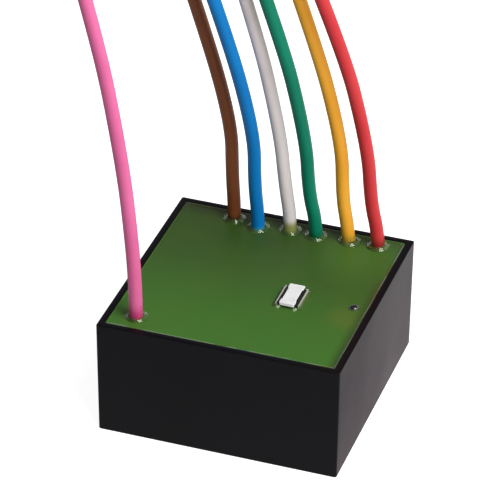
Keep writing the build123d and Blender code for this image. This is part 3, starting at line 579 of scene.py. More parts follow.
def effect(
    name: str, inputs: dict[str, float | None], outputs: tuple[str, ...]
) -> tuple[bpy.types.NodeTree, bpy.types.NodeOutputs, bpy.types.NodeInputs]:
    """Make an empty shader node group.

    Args:
        name: The group's name.
        inputs: Each number input with its default. None makes a vector input.
        outputs: The names of the outputs, which are numbers.

    Returns:
        The group, the sockets that it is given and the sockets of its results.
    """
    group = bpy.data.node_groups.new(name, "ShaderNodeTree")
    for label, default in inputs.items():
        kind = "NodeSocketVector" if default is None else "NodeSocketFloat"
        socket = group.interface.new_socket(name=label, in_out="INPUT", socket_type=kind)
        if default is not None:
            socket.default_value = default
    for label in outputs:
        group.interface.new_socket(name=label, in_out="OUTPUT", socket_type="NodeSocketFloat")
    return group, group.nodes.new("NodeGroupInput").outputs, group.nodes.new("NodeGroupOutput").inputs


def build_grain() -> bpy.types.NodeTree:
    """Grain of a moulded or cast surface: fine noise over slow noise, as a mask and a height.

    Returns:
        The node group.
    """
    inputs = {"Vector": None, "Scale": 900.0, "Slow scale": 60.0}
    group, given, result = effect("grain", inputs, ("Mask", "Height"))
    contrast, offset = 3.0, -1.0
    slow_share, fine_share = 0.6, 0.4
    fine = noise_node(group, given["Vector"], given["Scale"], detail=5)
    slow = noise_node(group, given["Vector"], given["Slow scale"], detail=3)
    join(group, math_node(group, "MULTIPLY_ADD", slow, contrast, offset, clamp=True), result["Mask"])
    fine_height = math_node(group, "MULTIPLY", fine, fine_share)
    join(group, math_node(group, "MULTIPLY_ADD", slow, slow_share, fine_height), result["Height"])
    return group


def build_streaks() -> bpy.types.NodeTree:
    """Fine lines of a drawn, rolled or extruded surface: noise stretched along the lay.

    Returns:
        The node group.
    """
    group, given, result = effect("streaks", {"Vector": None, "Lay": None, "Scale": 2500.0}, ("Mask",))
    stretched = vector_node(group, "MULTIPLY", given["Vector"], given["Lay"])["Vector"]
    contrast, offset = 2.4, -0.7
    lines = noise_node(group, stretched, given["Scale"], detail=3, roughness=0.65)
    join(group, math_node(group, "MULTIPLY_ADD", lines, contrast, offset, clamp=True), result["Mask"])
    return group


def build_specks() -> bpy.types.NodeTree:
    """Scattered dust and pits: the middles of Voronoi cells, kept where noise is high.

    Returns:
        The node group.
    """
    inputs = {"Vector": None, "Scale": 700.0, "Size": 0.16, "Share": 0.55}
    group, given, result = effect("specks", inputs, ("Mask",))
    cells = group.nodes.new("ShaderNodeTexVoronoi")
    join(group, given["Vector"], cells.inputs["Vector"])
    join(group, given["Scale"], cells.inputs["Scale"])
    near = math_node(group, "LESS_THAN", cells.outputs["Distance"], given["Size"])
    picked = noise_node(group, given["Vector"], scale=90.0, detail=2)
    kept = math_node(group, "GREATER_THAN", picked, given["Share"])
    join(group, math_node(group, "MULTIPLY", near, kept), result["Mask"])
    return group


def build_climb() -> bpy.types.NodeTree:
    """How far something has climbed: 1 below Low, 0 above High, with a ragged upper edge.

    Returns:
        The node group.
    """
    inputs = {"Vector": None, "Low": 0.0, "High": 1.0, "Ragged": 0.6 * MM, "Scale": 900.0}
    group, given, result = effect("climb", inputs, ("Mask",))
    stretched = vector_node(group, "MULTIPLY", given["Vector"], Lay.ALONG_Z.value)["Vector"]
    noise = math_node(group, "SUBTRACT", noise_node(group, stretched, given["Scale"], detail=3), 0.5)
    lift = math_node(group, "MULTIPLY", noise, given["Ragged"])
    height = math_node(group, "ADD", axes_node(group, given["Vector"])["Z"], lift)
    join(group, ramp_node(group, height, given["Low"], given["High"], fall=True), result["Mask"])
    return group


def build_turns() -> bpy.types.NodeTree:
    """Wire wound round an upright axis: a height that swells once for each turn up the axis.

    Returns:
        The node group.
    """
    group, given, result = effect("turns", {"Vector": None, "Pitch": 0.12 * MM}, ("Height",))
    noise = noise_node(group, given["Vector"], scale=400.0, detail=2)
    wobble = math_node(group, "MULTIPLY", noise, 0.08 * MM)
    height = math_node(group, "ADD", axes_node(group, given["Vector"])["Z"], wobble)
    phase = math_node(group, "MULTIPLY", math_node(group, "DIVIDE", height, given["Pitch"]), pi)
    join(group, math_node(group, "ABSOLUTE", math_node(group, "SINE", phase)), result["Height"])
    return group


@dataclass
class Effects:
    """The shared node groups, each built once."""

    grain: bpy.types.NodeTree = field(default_factory=build_grain)
    streaks: bpy.types.NodeTree = field(default_factory=build_streaks)
    specks: bpy.types.NodeTree = field(default_factory=build_specks)
    climb: bpy.types.NodeTree = field(default_factory=build_climb)
    turns: bpy.types.NodeTree = field(default_factory=build_turns)


class Shader:
    """A new material with a Principled shader, and short ways to add and join its nodes."""

    def __init__(self, name: str, effects: Effects) -> None:
        """Start the material with Object coordinates and a shader.

        Args:
            name: The material's name.
            effects: The shared effects.
        """
        self.effects = effects
        self.material = bpy.data.materials.new(name)
        self.material.use_nodes = True
        self.tree = self.material.node_tree
        self.surface = self.tree.nodes["Principled BSDF"]
        self.place = self.tree.nodes.new("ShaderNodeTexCoord").outputs["Object"]

    def put(self, group: bpy.types.NodeTree, **values: Feed) -> bpy.types.NodeOutputs:
        """Place a shared effect that reads Object coordinates.

        Args:
            group: The effect's node group.
            **values: Its inputs by name, with underscores for spaces.

        Returns:
            The effect's outputs.
        """
        node = self.tree.nodes.new("ShaderNodeGroup")
        node.node_tree = group
        join(self.tree, self.place, node.inputs["Vector"])
        for label, value in values.items():
            join(self.tree, value, node.inputs[label.replace("_", " ")])
        return node.outputs

    def grain(self, scale: float, slow_scale: float) -> bpy.types.NodeOutputs:
        """Place the grain with its two scales."""
        return self.put(self.effects.grain, Scale=scale, Slow_scale=slow_scale)

    def mix(self, mask: Socket, first: Feed, second: Feed) -> Socket:
        """Mix two colours.

        Args:
            mask: Where it is 0 the first shows, where it is 1 the second.
            first: A colour or a socket.
            second: A colour or a socket.

        Returns:
            The mixed colour.
        """
        node = self.tree.nodes.new("ShaderNodeMix")
        node.data_type = "RGBA"
        join(self.tree, mask, node.inputs["Factor"])
        for label, value in (("A", first), ("B", second)):
            join(self.tree, value, next(s for s in node.inputs if s.name == label and s.type == "RGBA"))
        return next(s for s in node.outputs if s.type == "RGBA")

    def math(self, operation: str, *values: Feed, clamp: bool = False) -> Socket:
        """Add a Math node to the material, as math_node does."""
        return math_node(self.tree, operation, *values, clamp=clamp)

    def spread(self, mask: Socket, low: float, high: float) -> Socket:
        """Stretch a mask of 0 to 1 over a range."""
        return self.math("MULTIPLY_ADD", mask, high - low, low)

    def feed(self, **values: Feed) -> None:
        """Join or set the shader's inputs, each by its name with underscores for spaces."""
        for label, value in values.items():
            join(self.tree, value, self.surface.inputs[label.replace("_", " ")])

    def bump(self, height: Socket, depth: float) -> None:
        """Raise the surface by a height.

        Args:
            height: The socket that gives the height, 0 to 1.
            depth: The real depth of a height of 1, in metres.
        """
        node = self.tree.nodes.new("ShaderNodeBump")
        join(self.tree, depth, node.inputs["Distance"])
        join(self.tree, height, node.inputs["Height"])
        self.feed(Normal=node.outputs["Normal"])


@dataclass(frozen=True)
class Finish:
    """A named finish. Each kind of finish says how it sets up its shader."""

    name: str

    def set_up(self, shader: Shader) -> None:
        """Feed the shader."""
        raise NotImplementedError

    def material(self, effects: Effects) -> bpy.types.Material:
        """Build the finish's material.

        Args:
            effects: The shared effects.

        Returns:
            The material.
        """
        shader = Shader(self.name, effects)
        self.set_up(shader)
        return shader.material


@dataclass(frozen=True)
class Moulded(Finish):
    """A moulded, cast or dipped surface: a grained colour with slow patches of a second one."""

    colour: Colour
    patch: Colour
    roughness: Span = (0.38, 0.5)
    specular: float = 0.5
    grain: float = 900.0
    patches: float = 60.0
    depth: float = 0.01 * MM
    coat: float = 0.0
    coat_roughness: float = 0.1

    def set_up(self, shader: Shader) -> None:
        """Set up the shader.

        Args:
            shader: The material's shader.
        """
        grain = shader.grain(self.grain, self.patches)
        shader.feed(
            Base_Color=shader.mix(grain["Mask"], self.colour, self.patch),
            Roughness=shader.spread(grain["Mask"], *self.roughness),
            Specular_IOR_Level=self.specular,
            Coat_Weight=self.coat,
            Coat_Roughness=self.coat_roughness,
        )
        shader.bump(grain["Height"], self.depth)


@dataclass(frozen=True)
class TubPlastic(Finish):
    """Black moulded plastic, dusty and satin on the walls and smoother on the rim."""

    rim: float
    colour: Colour = srgb(8, 8, 12)
    patch: Colour = srgb(12, 11, 16)
    speck_colour: Colour = srgb(46, 44, 50)
    speck_size: float = 0.035
    roughness: Span = (0.36, 0.46)
    rim_roughness: float = 0.3
    rim_soft: float = 0.08 * MM
    specular: float = 0.12
    sheen: float = 0.12
    sheen_roughness: float = 0.3
    sheen_colour: Colour = srgb(255, 186, 214)
    grain: float = 1600.0
    patches: float = 45.0
    depth: float = 0.004 * MM

    def set_up(self, shader: Shader) -> None:
        """Set up the shader. A climb mask keeps the satin below the rim.

        Args:
            shader: The material's shader.
        """
        grain = shader.grain(self.grain, self.patches)
        dust = shader.put(shader.effects.specks, Size=self.speck_size)
        satin_low = self.rim - 2 * self.rim_soft
        satin = shader.put(shader.effects.climb, Low=satin_low, High=self.rim - self.rim_soft, Ragged=0.0)
        colour = shader.mix(grain["Mask"], self.colour, self.patch)
        rough = shader.spread(grain["Mask"], *self.roughness)
        rougher = shader.math("SUBTRACT", rough, self.rim_roughness)
        shader.feed(
            Base_Color=shader.mix(dust["Mask"], colour, self.speck_colour),
            Roughness=shader.math("MULTIPLY_ADD", rougher, satin["Mask"], self.rim_roughness),
            Specular_IOR_Level=self.specular,
            Sheen_Weight=self.sheen,
            Sheen_Roughness=self.sheen_roughness,
            Sheen_Tint=self.sheen_colour,
        )
        shader.bump(grain["Height"], self.depth)


@dataclass(frozen=True)
class Metal(Finish):
    """A metal surface with fine lines along its lay and slow stains."""

    colour: Colour
    stain: Colour
    lay: Lay = Lay.NONE
    roughness: Span = (0.22, 0.38)
    lines: float = 2500.0
    grain: float = 1500.0
    stains: float = 220.0
    depth: float = 0.003 * MM
    metallic: float = 1.0

    def set_up(self, shader: Shader) -> None:
        """Set up the shader.

        Args:
            shader: The material's shader.
        """
        grain = shader.grain(self.grain, self.stains)
        streaks = shader.put(shader.effects.streaks, Scale=self.lines, Lay=self.lay.value)
        shader.feed(
            Base_Color=shader.mix(grain["Mask"], self.colour, self.stain),
            Metallic=self.metallic,
            Roughness=shader.spread(streaks["Mask"], *self.roughness),
        )
        shader.bump(streaks["Mask"], self.depth)


@dataclass(frozen=True)
class Wound(Finish):
    """Lacquered wire wound round an upright axis, with painted shade in the grooves between turns."""

    colour: Colour
    # Painted shade in the grooves between turns.
    groove_shade: Colour
    pitch: float = 0.12 * MM
    depth: float = 0.04 * MM
    roughness: Span = (0.5, 0.25)
    metallic: float = 0.6

    def set_up(self, shader: Shader) -> None:
        """Set up the shader.

        Args:
            shader: The material's shader.
        """
        swell = shader.put(shader.effects.turns, Pitch=self.pitch)["Height"]
        shader.feed(
            # The colour falls to the groove colour between turns: painted shade.
            Base_Color=shader.mix(swell, self.groove_shade, self.colour),
            Roughness=shader.spread(swell, *self.roughness),
            Metallic=self.metallic,
        )
        shader.bump(swell, self.depth)


@dataclass(frozen=True)
class Insulation(Finish):
    """Extruded plastic on a lead, tinted at its foot by the resin that has climbed it."""

    colour: Colour
    patch: Colour
    tint: Colour
    foot: float
    climb: float
    soak: float
    ragged: float = 0.9 * MM
    ragged_scale: float = 1500.0
    roughness: Span = (0.34, 0.46)
    wet_roughness: float = 0.06
    specular: float = 0.25
    grain: float = 1400.0
    patches: float = 110.0
    lines: float = 1800.0
    depth: float = 0.006 * MM

    def set_up(self, shader: Shader) -> None:
        """Set up the shader. The tint is whole up to a share of the climb, then thins out.

        Args:
            shader: The material's shader.
        """
        grain = shader.grain(self.grain, self.patches)
        streaks = shader.put(shader.effects.streaks, Scale=self.lines, Lay=Lay.ALONG_Z.value)
        wet = shader.put(
            shader.effects.climb,
            Low=self.foot + self.soak * self.climb,
            High=self.foot + self.climb,
            Ragged=self.ragged,
            Scale=self.ragged_scale,
        )
        colour = shader.mix(grain["Mask"], self.colour, self.patch)
        dry = shader.math("SUBTRACT", 1.0, wet["Mask"])
        rough = shader.spread(streaks["Mask"], *self.roughness)
        shader.feed(
            Base_Color=shader.mix(wet["Mask"], colour, self.tint),
            Roughness=shader.math("MULTIPLY_ADD", rough, dry, self.wet_roughness, clamp=True),
            Specular_IOR_Level=self.specular,
        )
        shader.bump(streaks["Mask"], self.depth)


@dataclass(frozen=True)
class Patch:
    """A round patch of another tone on the board, strongest within its core."""

    middle: Point
    reach: float
    share: float
    tone: Colour
    core: float = 1 * MM


@dataclass(frozen=True)
class CoatedBoard(Finish):
    """The green board under clear resin.

    It grows darker from its front to its back. Two round patches, one warm and one fresh, lie
    on the right half, a band of painted olive shade runs along the back behind the leads, weaker
    to the right, and a band of painted shade runs along the front of the right wall.
    """

    name: str = "coated_board"
    near: Colour = srgb(61, 111, 36)
    far: Colour = srgb(48, 77, 24)
    warm: Colour = srgb(88, 106, 38)
    # Painted shade along the back, behind the leads.
    back_shade: Colour = srgb(50, 58, 30)
    # Painted shade along the front part of the right wall.
    shade: Colour = srgb(42, 64, 24)
    fade: Span = (-17 * MM, 15 * MM)
    patches: tuple[Patch, ...] = (
        Patch((16.4 * MM, -4.8 * MM, 19.85 * MM), 4.6 * MM, 0.55, warm),
        Patch((13 * MM, 13.5 * MM, 19.85 * MM), 12 * MM, 0.6, srgb(70, 116, 38)),
    )
    strip: Span = (15.2 * MM, 18.2 * MM)
    strip_left: Span = (13 * MM, 5 * MM)
    strip_least: float = 0.3
    strip_gain: float = 0.55
    edge: Span = (16.8 * MM, 18.6 * MM)
    edge_front: Span = (9 * MM, 4 * MM)
    edge_share: float = 0.8
    grain: float = 2600.0
    clouds: float = 170.0
    cloud_share: float = 0.14
    roughness: Span = (0.5, 0.6)
    specular: float = 0.2
    coat: float = 0.25
    coat_roughness: float = 0.35
    depth: float = 0.004 * MM

    def tone(self, shader: Shader) -> Socket:
        """The board's colour by its place, with painted shade along the back and along the right wall.

        Args:
            shader: The material that it goes into.

        Returns:
            The colour.
        """
        tree = shader.tree
        along = axes_node(tree, shader.place)
        base = shader.mix(ramp_node(tree, along["Y"], *self.fade), self.near, self.far)
        for patch in self.patches:
            apart = vector_node(tree, "DISTANCE", shader.place, patch.middle)["Value"]
            near = ramp_node(tree, apart, patch.reach, patch.core)
            base = shader.mix(shader.math("MULTIPLY", near, patch.share), base, patch.tone)
        # Painted shade along the back, behind the leads, stronger to the left.
        left = ramp_node(tree, along["X"], *self.strip_left)
        share = shader.math("MULTIPLY_ADD", left, self.strip_gain, self.strip_least)
        strip = shader.math("MULTIPLY", ramp_node(tree, along["Y"], *self.strip), share)
        base = shader.mix(strip, base, self.back_shade)
        # Painted shade along the front part of the right wall.
        front = shader.math("MULTIPLY", ramp_node(tree, along["Y"], *self.edge_front), self.edge_share)
        edge = shader.math("MULTIPLY", ramp_node(tree, along["X"], *self.edge), front)
        return shader.mix(edge, base, self.shade)

    def set_up(self, shader: Shader) -> None:
        """Set up the shader: the tone by place, then warm clouds and fine grain.

        Args:
            shader: The material's shader.
        """
        grain = shader.grain(self.grain, self.clouds)
        clouds = shader.math("MULTIPLY", grain["Mask"], self.cloud_share)
        shader.feed(
            Base_Color=shader.mix(clouds, self.tone(shader), self.warm),
            Roughness=shader.spread(grain["Mask"], *self.roughness),
            Specular_IOR_Level=self.specular,
            Coat_Weight=self.coat,
            Coat_Roughness=self.coat_roughness,
        )
        shader.bump(grain["Height"], self.depth)


@dataclass(frozen=True)
class ClearResin(Finish):
    """Clear resin drawn up round a foot: see-through from above, bright where it is seen edge on."""

    name: str = "drawn_resin"
    colour: Colour = srgb(72, 112, 50)
    cloudy: Colour = srgb(120, 140, 84)
    least: float = 0.22
    gain: float = 2.0
    glint: Colour = (0.84, 1.0, 0.74, 1.0)
    bend: float = 1.5
    roughness: Span = (0.06, 0.12)
    coat_roughness: float = 0.08
    grain: float = 1500.0
    clouds: float = 700.0
    depth: float = 0.02 * MM

    def set_up(self, shader: Shader) -> None:
        """Set up the shader. Its alpha grows with the Fresnel reflection.

        Args:
            shader: The material's shader.
        """
        cloud = shader.grain(self.grain, self.clouds)
        mirror = shader.tree.nodes.new("ShaderNodeFresnel")
        mirror.inputs["IOR"].default_value = self.bend
        shader.feed(
            Base_Color=shader.mix(cloud["Mask"], self.colour, self.cloudy),
            Alpha=shader.math("MULTIPLY_ADD", mirror.outputs["Fac"], self.gain, self.least, clamp=True),
            Roughness=shader.spread(cloud["Mask"], *self.roughness),
            Specular_IOR_Level=1.0,
            Specular_Tint=self.glint,
            Coat_Weight=1.0,
            Coat_Roughness=self.coat_roughness,
        )
        shader.bump(cloud["Height"], self.depth)


# Sub-assemblies


@dataclass
class PottingBox:
    """The black tub: slightly drafted, its upright corners and its rim softly rounded."""

    room: Room
    corner: float = 0.32 * MM
    inner_corner: float = 0.25 * MM
    foot_round: float = 0.3 * MM
    rim_round: float = 0.12 * MM
    inner_round: float = 0.06 * MM
    wall: float = 1.2 * MM
    floor_thick: float = 1.2 * MM
    draft: float = 0.15 * MM

    def outline(self, inset: float, corner: float, height: float) -> np.ndarray:
        """The tub's plan at a height, drawn in by an inset and by the draft there.

        Args:
            inset: How far inside the outer face.
            corner: Radius of the upright corners.
            height: Height of the plan.

        Returns:
            The points about the tub's middle, n by 2.
        """
        inset = inset + self.draft * (1 - (height - self.room.low.z) / self.room.height)
        width, depth = self.room.width - 2 * inset, self.room.depth - 2 * inset
        return rounded_rectangle(width, depth, corner, per_corner=10)[:, :2]

    def build(self, material: bpy.types.Material) -> bpy.types.Object:
        """Carry the wall's section round the tub: foot, outside, rim, inside and floor.

        Args:
            material: The tub's material.

        Returns:
            The tub.
        """
        turn = quarter_turn()
        foot = self.room.low.z
        rim = self.room.high.z
        rows = []
        for a in turn:
            inset = self.foot_round * (1 - sin(a))
            rows.append((inset, self.corner, foot + self.foot_round * (1 - cos(a))))
        for a in turn:
            inset = self.rim_round * (1 - cos(a))
            rows.append((inset, self.corner - inset, rim - self.rim_round * (1 - sin(a))))
        for a in turn:
            inset = self.wall - self.inner_round * (1 - sin(a))
            rows.append((inset, self.inner_corner, rim - self.inner_round * (1 - cos(a))))
        rows.append((self.wall, self.inner_corner, foot + self.floor_thick))
        shape = stacked([(self.outline(*row), row[-1]) for row in rows], self.room.centre)
        return fitted(make_object("tub", *shape), material, "potting_box")


@dataclass(frozen=True)
class Lead:
    """One lead: its foot, the route of its line above the foot, its colours and its resin.

    The foot, the route and the resin's climb up the lead are in millimetres. The colours are
    the lead's own, its patches' and its tint's. Soak is the share of the climb over which the
    tint is whole.
    """

    name: str
    slot: str
    foot_mm: tuple[float, float]
    route_mm: tuple[Point, ...]
    colours: tuple[Colour, Colour, Colour]
    climb_mm: float
    soak: float = 0.1

    def foot(self) -> tuple[float, float]:
        """Where the lead stands on the board, in metres."""
        return self.foot_mm[0] * MM, self.foot_mm[1] * MM

    def line(self, board_top: float) -> list[Vector]:
        """The control points of the lead's line in the part's frame, its foot first.

        Args:
            board_top: Height of the board's upper face.

        Returns:
            The points.
        """
        left, back = self.foot()
        route = ((0, 0, 0), *self.route_mm)
        return [Vector((left + x * MM, back + y * MM, board_top + z * MM)) for x, y, z in route]

    def smooth_line(self, board_top: float) -> np.ndarray:
        """Points read from the NURBS spline that has the lead's line as its control points.

        Args:
            board_top: Height of the board's upper face.

        Returns:
            The points, n by 3.
        """
        points = self.line(board_top)
        curve = bpy.data.curves.new(self.name + "_route", "CURVE")
        curve.dimensions = "3D"
        curve.resolution_u = 24
        spline = curve.splines.new("NURBS")
        spline.points.add(len(points) - 1)
        spline.points.foreach_set("co", np.array([(*point, 1.0) for point in points]).reshape(-1))
        spline.order_u = 3
        spline.use_endpoint_u = True
        carrier = bpy.data.objects.new(curve.name, curve)
        mesh = bpy.data.meshes.new_from_object(carrier)
        places = np.empty(len(mesh.vertices) * 3)
        mesh.vertices.foreach_get("co", places)
        bpy.data.meshes.remove(mesh)
        bpy.data.objects.remove(carrier)
        bpy.data.curves.remove(curve)
        return places.reshape(-1, 3)

    def finish(self, resin: float) -> Insulation:
        """The lead's insulation, tinted from the resin's surface up."""
        return Insulation(self.slot, *self.colours, resin, self.climb_mm * MM, self.soak)


@dataclass
class Leads:
    """The seven insulated leads, as smooth tubes of their real length."""

    board_top: float
    leads: tuple[Lead, ...]
    diameter: float = 2.2 * MM
    end_round: float = 0.12 * MM
    core_diameter: float = 0.98 * MM
    core_proud: float = 0.04 * MM

    def build(self, resin: float, effects: Effects) -> None:
        """Args:
            resin: Height of the resin film's surface.
            effects: The shared effects.
        """
        for lead in self.leads:
            line = lead.smooth_line(self.board_top)
            tube = swept_tube(line, self.diameter / 2, self.end_round)
            piece = make_object(lead.name + "_insulation", *tube)
            fitted(piece, lead.finish(resin).material(effects), lead.name)

    def cut_core(self, lead: Lead, material: bpy.types.Material) -> bpy.types.Object:
        """The copper that shows in the square-cut end of a lead with no stripped end.

        Args:
            lead: The lead.
            material: The copper.

        Returns:
            The end of the core.
        """
        before, end = lead.line(self.board_top)[-2:]
        radius = self.core_diameter / 2
        proud = self.core_proud
        bevel = proud / 2
        profile = np.array([(radius, -proud), (radius, bevel), (radius - bevel, proud), (radius / 2, proud)])
        points, faces = turned(profile, (0, 0, 0), around=32)
        turn = np.array((end - before).normalized().to_track_quat("Z", "Y").to_matrix())
        piece = make_object(lead.name + "_core_end", points @ turn.T + np.array(end), faces)
        return fitted(piece, material)


@dataclass
class ResinCoat:
    """The clear film over the board, and the resin drawn up everything that stands in it."""

    board_top: float
    room: Room
    slot: str = "coat_resin"
    film_thick: float = 0.1 * MM
    wall_climb: float = 0.13 * MM
    wall_reach: float = 0.6 * MM
    wall_corner: float = 0.25 * MM
    collar_climb: float = 0.5 * MM
    collar_reach: float = 1.0 * MM
    collar_lean: float = 0.3
    collar_overlap: float = 0.02 * MM
    ripple: float = 0.006 * MM
    square_waves: Span = (210, 170)
    square_phases: Span = (0.7, 0.3)
    slant_waves: Span = (90, 140)
    slant_share: float = 0.6
    points_across: int = 150
    crowding: float = 1.6

    def level(self) -> float:
        """Height of the film's surface."""
        return self.board_top + self.film_thick

    def film(self, material: bpy.types.Material) -> bpy.types.Object:
        """The film itself: a closed slab whose top carries a slow ripple.

        The ripple is the product of two long sines along X and Y, with a weaker one on the
        slant, a few microns high. The waves are given in radians a metre. The lines of points
        lie closer near the walls, as the hyperbolic tangent spaces them.

        Args:
            material: The board as it shows through the film.

        Returns:
            The film.
        """
        n = self.points_across
        t = np.tanh(self.crowding * np.linspace(-1, 1, n)) / np.tanh(self.crowding)
        x = self.room.centre[0] + t * self.room.width / 2
        y = self.room.centre[1] + t * self.room.depth / 2
        xx, yy = np.meshgrid(x, y, indexing="ij")
        slant = np.sin(xx * self.slant_waves[0] - yy * self.slant_waves[1])
        along_x = np.sin(xx * self.square_waves[0] + self.square_phases[0])
        along_y = np.sin(yy * self.square_waves[1] + self.square_phases[1])
        wave = along_x * along_y + self.slant_share * slant
        top = np.stack([xx, yy, self.level() + self.ripple * wave], -1).reshape(-1, 3)
        bottom = top.copy()
        bottom[:, 2] = self.board_top
        upper = grid_quads(n, n, False, False)[:, ::-1]
        lower = grid_quads(n, n, False, False) + n * n
        step = np.arange(n)
        last = n - 1
        edge = np.concatenate([step * n, last * n + step[1:], step[-2::-1] * n + last, step[-2:0:-1]])
        following = np.roll(edge, -1)
        sides = np.stack([edge, edge + n * n, following + n * n, following], -1)
        piece = make_object("resin_film", np.concatenate([top, bottom]), [upper, lower, sides[:, ::-1]])
        return fitted(piece, material, "clear_coat")

    def wall(self, material: bpy.types.Material) -> bpy.types.Object:
        """The resin drawn up the box's inner walls.

        Args:
            material: Its material.

        Returns:
            The ring of resin.
        """
        outline = rounded_rectangle(
            self.room.width, self.room.depth, self.wall_corner, per_corner=10, per_side=60
        )
        climb = self.wall_climb * uneven(len(outline), seed=6, depth=0.15)
        reach = self.wall_reach * uneven(len(outline), seed=5, depth=0.3)
        shape = meniscus(outline, self.room.centre, self.level(), climb, reach, side=-1)
        return fitted(make_object("wall_meniscus", *shape), material)

    def collars(self, leads: Leads, material: bpy.types.Material) -> bpy.types.Object:
        """The resin drawn up each lead's foot, a little different on every lead.

        Each collar reaches further to the back than to the front.

        Args:
            leads: The leads that stand in the film.
            material: The collars' material.

        Returns:
            The collars, as one piece.
        """
        outline = circle_outline(leads.diameter / 2 - self.collar_overlap)
        lean = 1 + self.collar_lean * outline[:, 3]
        rings = []
        for number, lead in enumerate(leads.leads):
            climb = self.collar_climb * uneven(len(outline), seed=20 + number, depth=0.2)
            reach = self.collar_reach * uneven(len(outline), seed=40 + number, depth=0.16) * lean
            rings.append(meniscus(outline, lead.foot(), self.level(), climb, reach, fall=mounded))
        return fitted(make_object("lead_collars", *joined(rings)), material)


@dataclass
class PushButton:
    """The push button: its key, and the resin and solder round its foot."""

    housing: Room
    cap: Room
    terminals: Room
    waist_width: float = 2.26 * MM
    waist_length: float = 3.4 * MM
    waist_ease: float = 0.16 * MM
    plug_width: float = 1.5 * MM
    plug_length: float = 3.4 * MM
    plug_corner: float = 0.1 * MM
    plug_lift: float = 0.04 * MM
    key_thick: float = 0.2 * MM
    corner: float = 0.22 * MM
    least_corner: float = 0.02 * MM
    under_round: float = 0.02 * MM
    top_round: float = 0.08 * MM
    dish: float = 0.015 * MM
    dish_rings: tuple[float, ...] = (0.8, 0.55, 0.3)
    skirt_width: float = 2.33 * MM
    skirt_thick: float = 0.3 * MM
    skirt_round: float = 0.05 * MM
    skirt_corner: float = 0.06 * MM
    solder_size: Point = (1.2 * MM, 0.85 * MM, 0.26 * MM)
    solder_share: float = 2.6
    resin_corner: float = 0.08 * MM
    resin_climb: float = 0.26 * MM
    resin_reach: float = 0.7 * MM
    end_climb: float = 0.14 * MM
    corner_points: int = 8
    outline_points: int = 200

    def side_points(self) -> int:
        """How many points each side of the key's outline has between its corners."""
        return self.outline_points // 4 - self.corner_points

    def key_outline(self, inset: float) -> np.ndarray:
        """The key's plan, drawn in at its waist.

        A rounded rectangle is taken first. Each point's x is then multiplied so that the
        half width eases from the ends' to the waist's over a short way along Y.

        Args:
            inset: How far inside the outline to draw.

        Returns:
            The points about the button's middle, n by 2.
        """
        width = self.cap.width - 2 * inset
        depth = self.cap.depth - 2 * inset
        corner = max(self.corner - inset, self.least_corner)
        plan = rounded_rectangle(width, depth, corner, self.corner_points, self.side_points())
        xy = plan[:, :2]
        into = (self.waist_length / 2 - np.abs(xy[:, 1])) / self.waist_ease + 0.5
        waist = (self.waist_width - 2 * inset) / width
        xy[:, 0] *= 1 - (1 - waist) * smooth_step(into)
        return xy

    def key(self, material: bpy.types.Material) -> bpy.types.Object:
        """The key with its plug: closed sections from the plug's foot to the rounded top edge.

        Args:
            material: The key's material.

        Returns:
            The key.
        """
        top = self.cap.high.z
        under = top - self.key_thick
        full = self.key_outline(0)
        box = rounded_rectangle(
            self.plug_width, self.plug_length, self.plug_corner, self.corner_points, self.side_points()
        )
        plug = box[:, :2]
        levels = [
            (plug, self.cap.low.z + self.plug_lift),
            (plug, under),
            (self.key_outline(self.under_round), under),
            (full, under + self.under_round),
        ]
        for a in quarter_turn():
            inset = self.top_round * (1 - np.cos(a))
            levels.append((self.key_outline(inset), top - self.top_round * (1 - np.sin(a))))
        for share in self.dish_rings:
            levels.append((self.key_outline(self.top_round) * share, top - self.dish * (1 - share**2)))
        parts = [stacked(levels, self.housing.centre), *(self.skirt(side, under) for side in (-1, 1))]
        piece = make_object("key_cap", *joined(parts))
        return fitted(piece, material, "button_key", Body.BUTTON)

    def skirt(self, side: int, top: float) -> Shape:
        """The lip that hangs from one end of the key, with its foot and its edges rounded.

        Args:
            side: -1 for the front lip, 1 for the back one.
            top: Height of the key plate's underside.

        Returns:
            The points and the faces.
        """
        x, y = self.housing.centre
        end = y + side * (self.cap.depth / 2 - self.skirt_thick / 2)
        levels = []
        for a in quarter_turn(5):
            inset = self.skirt_round * (1 - sin(a))
            width, thick = self.skirt_width - 2 * inset, self.skirt_thick - 2 * inset
            plan = rounded_rectangle(width, thick, self.skirt_corner, per_corner=6, per_side=8)[:, :2]
            levels.append((plan, self.cap.low.z + self.skirt_round * (1 - cos(a))))
        levels.append((levels[-1][0], top + self.skirt_round))
        return stacked(levels, (x, end))

    def resin(self, coat: ResinCoat, material: bpy.types.Material) -> bpy.types.Object:
        """The resin drawn up the button's frame, kept low under the key's lips, which come down.

        Args:
            coat: The film that it rises from.
            material: Its material.

        Returns:
            The ring of resin.
        """
        outline = rounded_rectangle(
            self.housing.width, self.housing.depth, self.resin_corner, per_corner=8, per_side=40
        )
        climb = self.resin_climb * uneven(len(outline), seed=71, depth=0.4)
        at_end = np.abs(outline[:, 3])
        climb = climb * (1 - at_end) + np.minimum(climb, self.end_climb) * at_end
        reach = self.resin_reach * uneven(len(outline), seed=72, depth=0.3)
        shape = meniscus(outline, self.housing.centre, coat.level(), climb, reach)
        return fitted(make_object("button_meniscus", *shape), material)

    def solder(self, material: bpy.types.Material) -> bpy.types.Object:
        """A flattened dome of solder on each of the four terminals.

        The dome is an ellipsoid's upper half: radius cosine, height sine of the same angle. Its
        middle lies a share of its size in from the terminal's corner.

        Args:
            material: The solder.

        Returns:
            The four domes, as one piece.
        """
        length, width, height = self.solder_size
        rise = quarter_turn(12)[:-1]
        points, faces = turned(np.stack([np.cos(rise), np.sin(rise)], -1), (0, 0, 0), around=40)
        dome = points * np.array([width / 2, length / 2, height])
        low, high = self.terminals.low, self.terminals.high
        in_x, in_y = width / self.solder_share, length / self.solder_share
        domes = []
        for x in (low.x + in_x, high.x - in_x):
            for y in (low.y + in_y, high.y - in_y):
                domes.append((dome + np.array([x, y, low.z]), faces))
        return fitted(make_object("terminal_solder", *joined(domes)), material)


